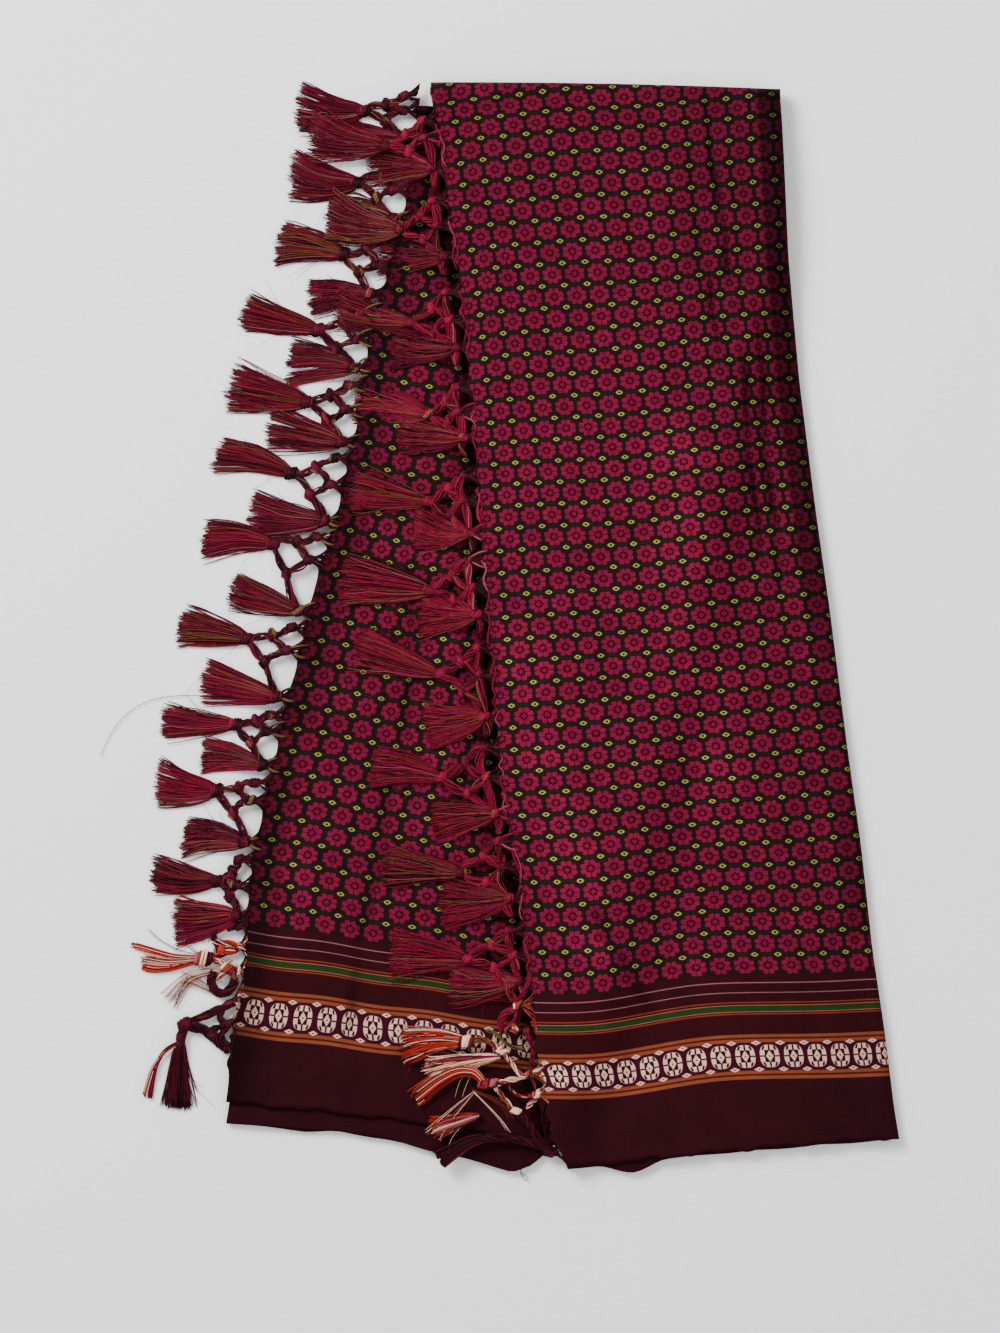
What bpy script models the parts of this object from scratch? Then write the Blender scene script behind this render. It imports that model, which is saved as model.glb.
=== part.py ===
"""A handloom dupatta stole, folded in a stack and laid flat, with a knotted fringe on its folded end."""

import math
from collections import namedtuple

import bmesh
import bpy

# Main sizes, in millimetres
WALL = 1.2
SEAM = 0.3
BACK_LAYERS = 4.0
BACK_TOP = BACK_LAYERS + SEAM + WALL
FRONT_RISE = 6.0
FRONT_FLAT_TOP = 5.7
SIDE_FOLD = 3.4
TOP_FOLD = 5.6
FOLD_TURN = math.radians(132)
CORNER_TURN = math.radians(85)
FOLD_STEPS = 4
FLOOR_GAP = 0.3

# Where the front half comes down from the back half to the floor
BRIDGE_START = 13.0
BRIDGE_LENGTH = 12.0
BRIDGE_END_SHIFT = -4.0

# Fringe sizes, in millimetres
KNOT_RADIUS = 1.9
KNOT_HALF_SIDE = 1.15
KNOT_CROWN = 1.6
FIRST_ROW_OUT = 4.9
SECOND_ROW_SHARE = 0.56
SECOND_TENT_SHARE = 0.12
TENT_HALF_WIDTH = 2.9
TENT_HALF_HEIGHT = 0.45
HEAD_LENGTH = 6.0
HEAD_HALF_WIDTH = 2.6
HEAD_HALF_HEIGHT = 1.15
LOCKS = 4
LOCK_MIDDLE_PITCH = 2.15
LOCK_END_PITCH = 2.9

Section = namedtuple("Section", "left_x left_y right_x right_y bow")
Crease = namedtuple("Crease", "start_u start_v end_u end_v width height")
Unit = namedtuple(
    "Unit",
    "middle_y first_rise inner_drop reach outer_length outer_rise inner_length inner_rise",
)
LowerEdge = namedtuple("LowerEdge", "u drop")

# The front half, from the top fold to the selvedge
FRONT = (
    Section(-39.8, 465.3, 110.2, 459.7, 1.0),
    Section(-34.7, 444.1, 111.0, 449.2, 0.6),
    Section(-32.2, 422.5, 111.9, 432.2, 0.0),
    Section(-25.0, 372.9, 113.8, 390.7, 0.0),
    Section(-19.9, 321.2, 118.6, 338.6, 0.0),
    Section(-16.5, 269.1, 125.4, 284.7, 0.0),
    Section(-12.7, 228.8, 131.4, 242.4, 0.0),
    Section(-8.5, 169.5, 139.0, 183.0, 0.0),
    Section(-0.8, 127.1, 144.9, 140.7, 0.5),
    Section(3.8, 86.4, 149.6, 97.5, 1.0),
    Section(7.2, 54.2, 154.7, 63.6, 1.2),
    Section(14.0, 17.8, 158.9, 29.7, 0.8),
    Section(19.5, 5.1, 161.0, 17.4, 0.6),
)

# The back half, which swings out to the left under the front one
BACK = (
    Section(-43.6, 455.5, 106.0, 450.5, 0.0),
    Section(-44.9, 436.4, 103.4, 430.1, 0.0),
    Section(-50.8, 402.5, 94.9, 391.9, 0.0),
    Section(-57.6, 380.1, 88.1, 362.3, 0.0),
    Section(-63.6, 359.7, 81.8, 336.9, 0.0),
    Section(-69.1, 322.0, 73.3, 297.5, 0.0),
    Section(-74.2, 299.2, 67.8, 274.6, 0.0),
    Section(-80.1, 273.3, 61.9, 248.3, 0.0),
    Section(-87.7, 251.7, 56.4, 225.4, 0.0),
    Section(-92.8, 225.4, 50.8, 201.3, 0.0),
    Section(-97.9, 208.9, 46.6, 183.5, 0.0),
    Section(-104.7, 176.3, 39.4, 151.7, 0.0),
    Section(-112.7, 141.5, 31.4, 117.4, 0.0),
    Section(-116.1, 113.6, 25.4, 91.1, 0.4),
    Section(-116.9, 92.8, 21.2, 72.0, 0.8),
    Section(-121.2, 66.1, 15.3, 46.6, 1.2),
    Section(-125.4, 32.5, 10.5, 15.5, 2.0),
)

# How far the layer below it reaches past the back half's lower edge
BACK_LOWER_EDGE = (
    LowerEdge(0.0, 9.0),
    LowerEdge(0.25, 9.8),
    LowerEdge(0.36, 8.4),
    LowerEdge(0.5, 9.3),
    LowerEdge(0.65, 11.8),
    LowerEdge(0.75, 12.8),
    LowerEdge(0.9, 15.2),
    LowerEdge(0.96, 11.2),
    LowerEdge(1.0, 4.9),
)

# The second layer that shows below the front half's edge
PEEK_MIDDLE = 0.2
PEEK_HALF_LENGTH = 0.11
PEEK_DROP = 4.6

FRONT_CREASES = (
    Crease(0.76, 0.02, 0.79, 0.20, 0.045, -0.9),
    Crease(0.86, 0.04, 0.87, 0.22, 0.05, 0.5),
    Crease(0.80, 0.22, 0.86, 0.62, 0.05, -1.0),
    Crease(0.90, 0.22, 0.90, 0.70, 0.05, 0.7),
    Crease(0.72, 0.28, 0.80, 0.70, 0.05, 0.6),
    Crease(0.22, 0.72, 0.42, 0.93, 0.06, -0.9),
    Crease(0.32, 0.70, 0.52, 0.92, 0.07, 0.6),
    Crease(0.45, 0.30, 0.52, 0.66, 0.09, 0.4),
)
BACK_CREASES = (
    Crease(0.30, 0.42, 0.36, 0.94, 0.06, 0.6),
    Crease(0.22, 0.44, 0.27, 0.90, 0.06, -0.7),
    Crease(0.10, 0.20, 0.16, 0.40, 0.07, 0.4),
)

# One row for each repeat of the fringe, from the top fold down
LEFT_UNITS = (
    Unit(455.5, 4.0, 14.0, 22.0, 29.5, 1.0, 28.0, 4.0),
    Unit(421.6, 8.0, 14.0, 21.0, 29.5, 1.0, 28.0, 1.0),
    Unit(389.0, 8.0, 14.0, 20.0, 29.0, 4.0, 27.0, -1.0),
    Unit(358.1, 8.0, 14.0, 21.5, 33.0, 8.0, 29.0, 3.0),
    Unit(328.8, 7.5, 16.5, 22.0, 34.0, 5.0, 33.0, 4.5),
    Unit(297.0, 8.0, 18.2, 22.0, 32.6, 8.0, 33.0, 4.0),
    Unit(264.8, 6.5, 24.0, 22.0, 31.0, 2.0, 30.0, 8.0),
    Unit(226.7, 6.5, 22.6, 22.9, 29.7, 6.0, 33.0, 5.0),
    Unit(191.5, 4.5, 16.2, 18.5, 32.6, 1.0, 27.0, 3.0),
    Unit(162.7, 4.5, 20.0, 20.4, 27.0, 2.0, 27.0, 3.0),
    Unit(127.1, 8.0, 15.0, 13.0, 29.0, 0.0, 27.0, -1.0),
    Unit(93.2, 8.0, 14.0, 13.5, 31.0, -1.0, 27.0, -1.0),
    Unit(62.7, 7.0, 13.0, 19.0, 8.0, -33.0, 0.0, 0.0),
)
FRONT_UNITS = (
    Unit(444.9, 5.0, 15.0, 22.0, 29.0, 4.0, 28.0, 2.0),
    Unit(407.6, 8.0, 15.0, 20.0, 29.0, 3.0, 28.0, 2.0),
    Unit(367.8, 9.0, 14.0, 21.0, 29.0, 4.0, 27.0, 2.0),
    Unit(328.4, 8.0, 13.0, 17.8, 28.0, 6.0, 28.0, 3.0),
    Unit(291.1, 8.0, 16.0, 20.3, 30.0, 4.5, 24.0, 3.0),
    Unit(254.2, 9.0, 13.5, 22.9, 34.0, 2.5, 25.0, 2.0),
    Unit(218.2, 8.0, 21.0, 21.6, 32.0, 11.0, 26.0, -4.0),
    Unit(174.6, 9.0, 18.0, 24.0, 27.0, 3.0, 27.0, -2.0),
    Unit(136.4, 8.0, 16.0, 22.0, 30.0, 4.0, 30.0, -3.0),
    Unit(98.3, 8.0, 13.0, 23.7, 30.0, 3.0, 30.0, 1.0),
    Unit(58.5, 8.0, 11.0, 24.0, 28.0, 1.0, 29.0, -1.0),
    Unit(30.5, 6.5, 12.5, 24.0, 29.0, 1.0, 28.0, -2.0),
)


def mix(a, b, t):
    return a + (b - a) * t


def smooth(t):
    t = min(1.0, max(0.0, t))
    return t * t * (3 - 2 * t)


def section_at(sections, y):
    """The section whose left end is at this height."""
    for above, below in zip(sections, sections[1:]):
        if y >= below.left_y or below is sections[-1]:
            t = (above.left_y - y) / (above.left_y - below.left_y)
            return Section(*(mix(a, b, t) for a, b in zip(above, below)))


def on_panel(sections, u, v, right_inset=0.0, top_inset=0.0):
    """A point of a half's outline, u across from its left edge and v down from its top."""
    top = sections[0].left_y - top_inset
    row = section_at(sections, mix(top, sections[-1].left_y, v))
    x = mix(row.left_x, row.right_x - right_inset, u)
    y = mix(row.left_y, row.right_y, u) + 4 * row.bow * u * (1 - u)
    return x, y


def creased(creases, u, v):
    """The height that the creases add here: each is a soft ridge or trough that dies out at its ends."""
    height = 0.0
    for crease in creases:
        along_u = crease.end_u - crease.start_u
        along_v = crease.end_v - crease.start_v
        length = math.hypot(along_u, along_v)
        along = ((u - crease.start_u) * along_u + (v - crease.start_v) * along_v) / length**2
        across = ((u - crease.start_u) * along_v - (v - crease.start_v) * along_u) / length
        fade = smooth((along + 0.15) / 0.3) * smooth((1.15 - along) / 0.3)
        height += crease.height * fade * math.exp(-((across / crease.width) ** 2))
    return height


def back_edge_x(y):
    """The hidden right-hand fold of the back half."""
    lowest = BACK[-1]
    highest = BACK[0]
    t = (y - lowest.right_y) / (highest.right_y - lowest.right_y)
    return mix(lowest.right_x, highest.right_x, max(0.0, t)) + 1.2


def back_top(u, v):
    return BACK_TOP + creased(BACK_CREASES, u, v)


def front_low(x, y):
    """The front half's underside: on the back half, then down to the floor."""
    shift = mix(BRIDGE_END_SHIFT, BRIDGE_START, min(1.0, max(0.0, (y - 10) / 50)))
    drop = smooth((x - back_edge_x(y) - shift) / BRIDGE_LENGTH)
    return (BACK_TOP + 1.2) * (1 - drop)


def front_top(x, y, u, v):
    shift = mix(BRIDGE_END_SHIFT, BRIDGE_START - 5, min(1.0, max(0.0, (y - 10) / 50)))
    drop = smooth((x - back_edge_x(y) - shift) / (2.2 * BRIDGE_LENGTH))
    return FRONT_FLAT_TOP + (FRONT_RISE + 0.6) * (1 - drop) + creased(FRONT_CREASES, u, v)


def add_object(name, bm, collection, material):
    bmesh.ops.recalc_face_normals(bm, faces=bm.faces)
    if bm.calc_volume(signed=True) < 0:
        bmesh.ops.reverse_faces(bm, faces=bm.faces)
    bmesh.ops.scale(bm, verts=bm.verts, vec=(0.001, 0.001, 0.001))
    mesh = bpy.data.meshes.new(name)
    bm.to_mesh(mesh)
    bm.free()
    mesh.materials.append(material)
    obj = bpy.data.objects.new(name, mesh)
    collection.objects.link(obj)
    return obj


def add_grid(bm, points):
    """Vertices in rows, with faces between them."""
    rows = [[bm.verts.new(p) for p in row] for row in points]
    for upper, lower in zip(rows, rows[1:]):
        for i in range(len(upper) - 1):
            bm.faces.new((upper[i], lower[i], lower[i + 1], upper[i + 1]))
    return rows


def rim_of(rows):
    """The outer vertices of a grid, once round."""
    rim = list(rows[0])
    rim += [row[-1] for row in rows[1:]]
    rim += rows[-1][-2::-1]
    rim += [row[0] for row in rows[-2:0:-1]]
    return rim


def bridge(bm, first, second):
    count = len(first)
    for i in range(count):
        j = (i + 1) % count
        bm.faces.new((first[i], first[j], second[j], second[i]))


def make_wall(name, collection, material, outer, inner):
    """A closed sheet between two grids of points."""
    bm = bmesh.new()
    bridge(bm, rim_of(add_grid(bm, outer)), rim_of(add_grid(bm, inner)))
    return add_object(name, bm, collection, material)


def make_slab(name, collection, material, low, high, rings):
    """A stack of layers between two grids, with a groove between the layers at its edge."""
    bm = bmesh.new()
    low_rim = rim_of(low)
    high_rim = rim_of(high)
    count = len(low_rim)
    middle_x = sum(p[0] for p in low_rim) / count
    middle_y = sum(p[1] for p in low_rim) / count
    rim_rows = []
    for height, inset in rings:
        row = []
        for i in range(count):
            before = low_rim[i - 1]
            after = low_rim[(i + 1) % count]
            side_x = after[1] - before[1]
            side_y = before[0] - after[0]
            length = math.hypot(side_x, side_y)
            outward = (side_x * (low_rim[i][0] - middle_x) + side_y * (low_rim[i][1] - middle_y)) > 0
            push = (inset if outward else -inset) / length
            x = mix(low_rim[i][0], high_rim[i][0], height) - side_x * push
            y = mix(low_rim[i][1], high_rim[i][1], height) - side_y * push
            row.append(bm.verts.new((x, y, mix(low_rim[i][2], high_rim[i][2], height))))
        rim_rows.append(row)
    for first, second in zip(rim_rows, rim_rows[1:]):
        bridge(bm, first, second)
    for grid, rim in ((low, rim_rows[0]), (high, rim_rows[-1])):
        rows = [[None] * len(grid[0]) for _ in grid]
        places = rim_of([[(j, i) for i in range(len(grid[0]))] for j in range(len(grid))])
        for (j, i), vertex in zip(places, rim):
            rows[j][i] = vertex
        for j in range(1, len(grid) - 1):
            for i in range(1, len(grid[0]) - 1):
                rows[j][i] = bm.verts.new(grid[j][i])
        for upper, lower in zip(rows, rows[1:]):
            for i in range(len(upper) - 1):
                bm.faces.new((upper[i], lower[i], lower[i + 1], upper[i + 1]))
    return add_object(name, bm, collection, material)


def grid_of(columns, rows, point):
    return [[point(i / columns, j / rows) for i in range(columns + 1)] for j in range(rows + 1)]


def turn_at(share, other):
    """How far a fold has turned. Where both folds meet at the corner, neither turns under."""
    full = mix(FOLD_TURN, CORNER_TURN, min(1.0, 3 * other))
    return full * share


def front_wall_points(inset):
    """The front half's cloth: flat, turned down round the right fold and the top fold."""
    columns = 14
    lines = 20
    points = []
    for j in range(-FOLD_STEPS, lines + 1):
        row = []
        for i in range(columns + FOLD_STEPS + 1):
            u = min(1.0, i / columns)
            v = max(0.0, j / lines)
            side_share = max(0, i - columns) / FOLD_STEPS
            over_share = max(0, -j) / FOLD_STEPS
            side = turn_at(side_share, over_share)
            over = turn_at(over_share, side_share)
            x, y = on_panel(FRONT, u, v, SIDE_FOLD, TOP_FOLD)
            top = front_top(x, y, u, v)
            low = front_low(x, y) * (1 - smooth(over_share)) + FLOOR_GAP
            half = (top - low) / 2
            z = low + half + (half - inset) * math.cos(max(side, over))
            x += (SIDE_FOLD - inset) * math.sin(side)
            y += (TOP_FOLD - inset) * math.sin(over)
            row.append((x, y, z))
        points.append(row)
    return points


def make_front(collection, cloth, hidden):
    make_wall("front_stretch", collection, cloth, front_wall_points(0.0), front_wall_points(WALL))

    def place(u, v):
        return on_panel(FRONT, u, v, SIDE_FOLD, TOP_FOLD)

    def low(u, v):
        x, y = place(u, v)
        y -= peek(u, v)
        return x, y, front_low(x, y)

    def high(u, v):
        x, y = place(u, v)
        y -= peek(u, v)
        return x, y, front_top(x, y, u, v) - WALL - SEAM - 0.25 - 0.3 * smooth((v - 0.9) / 0.1)

    rings = ((0.0, 1.3), (0.12, 0.9), (0.3, 1.5), (0.48, 0.9), (0.66, 1.5), (0.84, 0.9), (1.0, 1.3))
    make_slab("front_layers", collection, hidden, grid_of(14, 20, low), grid_of(14, 20, high), rings)


def peek(u, v):
    """How far the second layer drops below the front half's lower edge."""
    across = smooth(1 - abs(u - PEEK_MIDDLE) / PEEK_HALF_LENGTH)
    return (PEEK_DROP * across + 1.0) * smooth((v - 0.95) / 0.05)


def lower_edge_drop(u):
    for before, after in zip(BACK_LOWER_EDGE, BACK_LOWER_EDGE[1:]):
        if u <= after.u:
            return mix(before.drop, after.drop, (u - before.u) / (after.u - before.u))
    return BACK_LOWER_EDGE[-1].drop


def make_back(collection, cloth, hidden):
    columns = 12
    lines = 20
    outer = grid_of(columns, lines, lambda u, v: (*on_panel(BACK, u, v, 1.5), back_top(u, v)))
    inner = [[(x, y, z - WALL) for x, y, z in row] for row in outer]
    make_wall("back_stretch", collection, cloth, outer, inner)

    def place(u, v):
        x, y = on_panel(BACK, u, v)
        return x, y - lower_edge_drop(u) * smooth((v - 0.88) / 0.12)

    def low(u, v):
        return (*place(u, v), 0.0)

    def high(u, v):
        return (*place(u, v), back_top(u, v) - WALL - SEAM)

    rings = ((0.0, 1.1), (0.14, 0.5), (0.32, 1.1), (0.5, 0.5), (0.68, 1.1), (0.86, 0.5), (1.0, 1.0))
    make_slab("back_layers", collection, hidden, grid_of(columns, lines, low), grid_of(columns, lines, high), rings)


def make_fold_core(collection, hidden):
    """The inner layers where they turn over the top fold."""
    bm = bmesh.new()
    steps = 6
    inset = WALL + SEAM + 0.6
    rings = []
    for i in range(15):
        u = i / 14
        x, y = on_panel(FRONT, u, 0.0, SIDE_FOLD, TOP_FOLD)
        top = front_top(x, y, u, 0.0)
        half = (top - FLOOR_GAP) / 2
        ring = [bm.verts.new((x, y + 0.1, FLOOR_GAP + inset))]
        for k in range(steps + 1):
            turn = math.pi * (k / steps - 0.5)
            reach = (TOP_FOLD - inset) * math.cos(turn) + 0.2
            ring.append(bm.verts.new((x, y + reach, FLOOR_GAP + half + (half - inset) * math.sin(turn))))
        ring.append(bm.verts.new((x, y + 0.1, FLOOR_GAP + half + half - inset)))
        rings.append(ring)
    for first, second in zip(rings, rings[1:]):
        bridge(bm, first, second)
    bm.faces.new(rings[0])
    bm.faces.new(rings[-1])
    add_object("fold_layers", bm, collection, hidden)


class Knot:
    """A six-sided knot. Cords, tents and tassels grow from its sides."""

    def __init__(self, bm, x, y, z, heading):
        self.bm = bm
        self.x = x
        self.y = y
        self.z = z
        self.angles = [heading + math.pi * k / 3 for k in range(6)]
        corner = [(x + KNOT_RADIUS * math.cos(a - math.pi / 6), y + KNOT_RADIUS * math.sin(a - math.pi / 6)) for a in self.angles]
        lower = [bm.verts.new((cx, cy, z - KNOT_HALF_SIDE)) for cx, cy in corner]
        upper = [bm.verts.new((cx, cy, z + KNOT_HALF_SIDE)) for cx, cy in corner]
        foot = bm.verts.new((x, y, z - KNOT_CROWN))
        crown = bm.verts.new((x, y, z + KNOT_CROWN))
        self.free = {}
        for k in range(6):
            n = (k + 1) % 6
            self.free[k] = (lower[k], lower[n], upper[n], upper[k])
            bm.faces.new((upper[k], upper[n], crown))
            bm.faces.new((lower[n], lower[k], foot))

    def side_to(self, x, y):
        """Takes the free side that faces this way."""
        heading = math.atan2(y - self.y, x - self.x)
        best = max(self.free, key=lambda k: math.cos(self.angles[k] - heading))
        return self.free.pop(best)

    def finish(self):
        for side in self.free.values():
            self.bm.faces.new(side)


def tube(bm, ring, further):
    """Walls from one four-cornered ring to the next."""
    for i in range(4):
        j = (i + 1) % 4
        bm.faces.new((ring[i], ring[j], further[j], further[i]))


def tie(bm, first, second):
    """A cord between two knots."""
    start = first.side_to(second.x, second.y)
    end = second.side_to(first.x, first.y)
    tube(bm, start, (end[1], end[0], end[3], end[2]))


def add_tent(bm, knot, edge):
    """The pinched threads between a knot and the cloth's edge, stopping just short of the cloth."""
    x, y, z, along_x, along_y = edge
    start = knot.side_to(x, y)
    ring = []
    for across, up in ((-1, -1), (1, -1), (1, 1), (-1, 1)):
        px = x - along_x * TENT_HALF_WIDTH * across
        py = y - along_y * TENT_HALF_WIDTH * across
        ring.append(bm.verts.new((px, py, z + TENT_HALF_HEIGHT * up)))
    tube(bm, start, ring)
    bm.faces.new(ring)


def add_tassel(bm, knot, tip_x, tip_y, tip_z, spread):
    """A head that opens into locks, which stand apart from just below it."""
    start = knot.side_to(tip_x, tip_y)
    length = math.hypot(tip_x - knot.x, tip_y - knot.y)
    ahead_x = (tip_x - knot.x) / length
    ahead_y = (tip_y - knot.y) / length
    side_x = -ahead_y
    side_y = ahead_x

    def at(along, across, up):
        z = mix(knot.z, tip_z, smooth(along / length))
        return bm.verts.new((knot.x + ahead_x * along + side_x * across, knot.y + ahead_y * along + side_y * across, z + up))

    place = [HEAD_HALF_WIDTH * (2 * k / LOCKS - 1) for k in range(LOCKS + 1)]
    under = [at(HEAD_LENGTH, across, -HEAD_HALF_HEIGHT) for across in place]
    over = [at(HEAD_LENGTH, across, HEAD_HALF_HEIGHT) for across in place]
    bm.faces.new((start[0], start[1], *reversed(under)))
    bm.faces.new((start[1], start[2], over[-1], under[-1]))
    bm.faces.new((start[2], start[3], *over))
    bm.faces.new((start[3], start[0], under[0], over[0]))
    for k in range(LOCKS):
        step = k - (LOCKS - 1) / 2
        ring = (under[k], under[k + 1], over[k + 1], over[k])
        uneven = 1.0 + 0.05 * math.sin(7.0 * k + 3.0 * knot.y)
        for along, pitch, half_width, half_height in (
            (0.58 * length, LOCK_MIDDLE_PITCH, 0.85, 0.85),
            (length * uneven, LOCK_END_PITCH * spread, 1.1, 0.5),
        ):
            across = step * pitch
            further = (
                at(along, across - half_width, -half_height),
                at(along, across + half_width, -half_height),
                at(along, across + half_width, half_height),
                at(along, across - half_width, half_height),
            )
            tube(bm, ring, further)
            ring = further
        bm.faces.new(ring)


def edge_at(sections, y, z):
    """A point just outside a half's fringed edge, and the direction of the edge there."""
    here = section_at(sections, y)
    above = section_at(sections, y + 3)
    length = math.hypot(above.left_x - here.left_x, 3.0)
    along_x = (here.left_x - above.left_x) / length
    along_y = -3.0 / length
    return here.left_x - 0.9, y, z, along_x, along_y


def outside(edge, out):
    x, y, z, along_x, along_y = edge
    return x + along_y * out, y - along_x * out


def add_unit(name, collection, material, sections, unit, heights):
    """One repeat of the fringe: three rows of knots, the cords between them, an outer and an inner tassel."""
    edge_z, first_z, second_z, third_z, tip_z = heights
    bm = bmesh.new()
    span = unit.first_rise + unit.inner_drop
    heading = math.pi
    edges = [
        edge_at(sections, unit.middle_y + rise, edge_z)
        for rise in (unit.first_rise, -SECOND_TENT_SHARE * span, -unit.inner_drop)
    ]
    first = [Knot(bm, *outside(edge, FIRST_ROW_OUT), first_z, heading) for edge in edges]
    second = []
    for rise in (0.5 * unit.first_rise, -0.42 * unit.inner_drop):
        edge = edge_at(sections, unit.middle_y + rise, edge_z)
        second.append(Knot(bm, *outside(edge, SECOND_ROW_SHARE * unit.reach), second_z, heading))
    middle = edge_at(sections, unit.middle_y, edge_z)
    third = Knot(bm, *outside(middle, unit.reach), third_z, heading)
    for knot, edge in zip(first, edges):
        add_tent(bm, knot, edge)
    add_tassel(bm, third, third.x - unit.outer_length, third.y + unit.outer_rise, tip_z, 1.0)
    inner = first[-1]
    if unit.inner_length:
        add_tassel(bm, inner, inner.x - unit.inner_length, inner.y + unit.inner_rise, tip_z, 0.9)
    tie(bm, first[0], second[0])
    tie(bm, first[1], second[0])
    tie(bm, first[1], second[1])
    tie(bm, first[2], second[1])
    tie(bm, second[0], third)
    tie(bm, second[1], third)
    for knot in (*first, *second, third):
        knot.finish()
    return add_object(name, bm, collection, material)


def make_material(name, colour, roughness):
    material = bpy.data.materials.new(name)
    material.use_nodes = True
    shader = material.node_tree.nodes["Principled BSDF"]
    shader.inputs["Base Color"].default_value = (*colour, 1.0)
    shader.inputs["Roughness"].default_value = roughness
    shader.inputs["Metallic"].default_value = 0.0
    return material


def centre_on_origin(collection):
    """Puts the middle of the whole object's box over the origin."""
    xs = []
    ys = []
    for obj in collection.objects:
        xs += [vertex.co.x for vertex in obj.data.vertices]
        ys += [vertex.co.y for vertex in obj.data.vertices]
    for obj in collection.objects:
        obj.location.x = -(min(xs) + max(xs)) / 2
        obj.location.y = -(min(ys) + max(ys)) / 2


def main():
    for obj in list(bpy.data.objects):
        bpy.data.objects.remove(obj, do_unlink=True)
    collection = bpy.data.collections.new("dupatta_stole")
    bpy.context.scene.collection.children.link(collection)

    woven = make_material("woven_cloth", (0.16, 0.012, 0.035), 0.7)
    layered = make_material("layered_cloth", (0.06, 0.006, 0.014), 0.8)
    thread = make_material("fringe_thread", (0.25, 0.015, 0.04), 0.6)

    make_front(collection, woven, layered)
    make_back(collection, woven, layered)
    make_fold_core(collection, layered)
    for k, unit in enumerate(LEFT_UNITS):
        heights = (BACK_TOP - WALL / 2, 4.0, 2.9, 2.05, 1.45)
        add_unit(f"left_fringe_{k + 1:02d}", collection, thread, BACK, unit, heights)
    for k, unit in enumerate(FRONT_UNITS):
        edge = section_at(FRONT, unit.middle_y)
        top = front_top(edge.left_x, unit.middle_y, 0.0, 0.5)
        heights = (top - WALL / 2, 10.0, 9.0, 8.1, 7.4)
        add_unit(f"front_fringe_{k + 1:02d}", collection, thread, FRONT, unit, heights)
    centre_on_origin(collection)


main()
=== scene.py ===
"""The looks of a handloom dupatta stole, folded and laid flat, with a knotted fringe."""

import math
from collections import namedtuple
from functools import partialmethod

import bpy
import numpy as np
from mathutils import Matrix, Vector


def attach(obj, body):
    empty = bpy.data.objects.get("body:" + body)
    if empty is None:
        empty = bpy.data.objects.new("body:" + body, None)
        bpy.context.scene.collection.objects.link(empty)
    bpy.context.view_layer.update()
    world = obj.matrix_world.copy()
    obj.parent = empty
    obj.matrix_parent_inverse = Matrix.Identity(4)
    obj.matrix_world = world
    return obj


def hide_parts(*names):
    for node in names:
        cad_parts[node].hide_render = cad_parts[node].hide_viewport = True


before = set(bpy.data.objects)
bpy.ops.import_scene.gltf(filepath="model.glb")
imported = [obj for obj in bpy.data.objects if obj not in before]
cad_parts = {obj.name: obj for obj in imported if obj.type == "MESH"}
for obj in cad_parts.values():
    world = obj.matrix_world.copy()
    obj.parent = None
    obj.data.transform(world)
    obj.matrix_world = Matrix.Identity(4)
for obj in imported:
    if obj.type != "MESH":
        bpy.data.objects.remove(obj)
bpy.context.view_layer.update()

# The photo's frame, and how its pixels lie on the cloth
PHOTO_WIDTH = 1000
PHOTO_HEIGHT = 1333
PIXELS_PER_MM = 2.36
ZERO_X = 520
ZERO_Y = 1180
SHIFT_X = 1.02
SHIFT_Y = -234.446

# Sizes of the part, in millimetres
WALL = 1.2
SEAM = 0.3
BACK_LAYERS = 4.0
BACK_TOP = BACK_LAYERS + SEAM + WALL
FRONT_RISE = 6.0
FRONT_FLAT_TOP = 5.7
SIDE_FOLD = 3.4
TOP_FOLD = 5.6
TOP_EASE = 9 / 84
FOLD_TURN = math.radians(132)
CORNER_TURN = math.radians(85)
FLOOR_GAP = 0.3
BRIDGE_START = 13.0
BRIDGE_LENGTH = 12.0
BRIDGE_END_SHIFT = -4.0
SHELL = 0.7
HALF_WIDTH = 150
LAYERS = 6
LAYER_ROWS = 90
LAYER_COLUMNS = 44

# The weave: a column and a row of the flower repeat, in photo pixels and millimetres
COLUMN_PIXELS = 23.2
ROW_PIXELS = 22.0
BACK_COLUMN_PIXELS = 25.2
BACK_DRAWN_COLUMN = 24.6
BORDER_ROW = 0.05
COLUMN_MM = COLUMN_PIXELS / PIXELS_PER_MM
ROW_MM = ROW_PIXELS / PIXELS_PER_MM

# The fringe, in millimetres
FIRST_ROW_OUT = 4.9
SECOND_ROW_SHARE = 0.56
SECOND_TENT_SHARE = 0.12
THREADS = 140
THREAD_RADIUS = 0.26
LOWEST_THREAD = 0.1
LEFTMOST_TIP = -166.0

# The camera and the floor, in metres, and the camera's sensor in mm
CAMERA_HEIGHT = 4.0
LOOKED_AT = 0.009
SENSOR = 24.0
FLOOR_HALF_SIDE = 2.0

UP = np.array([0.0, 0.0, 1.0])
# Heights and insets of each layer's round edge
LAYER_EDGE = ((0.04, 0.85), (0.3, 0.25), (0.7, 0.25), (0.96, 0.85))
# How far in the layers lie where they turn over the top
INNER_TURNS = (2.1, 3.0, 3.9)
INNER_THICKNESS = 0.6

Unit = namedtuple(
    "Unit",
    "middle_y first_rise inner_drop reach outer_length outer_rise inner_length inner_rise "
    "outer_yarn inner_yarn",
    defaults=(0.0, 0.0, 0.0, 0.0, 0.0, "", ""),
)
Crease = namedtuple("Crease", "points width depth tuck")
Half = namedtuple("Half", "side units tied outline knot_heights surface floor net_yarn seed")

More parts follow.
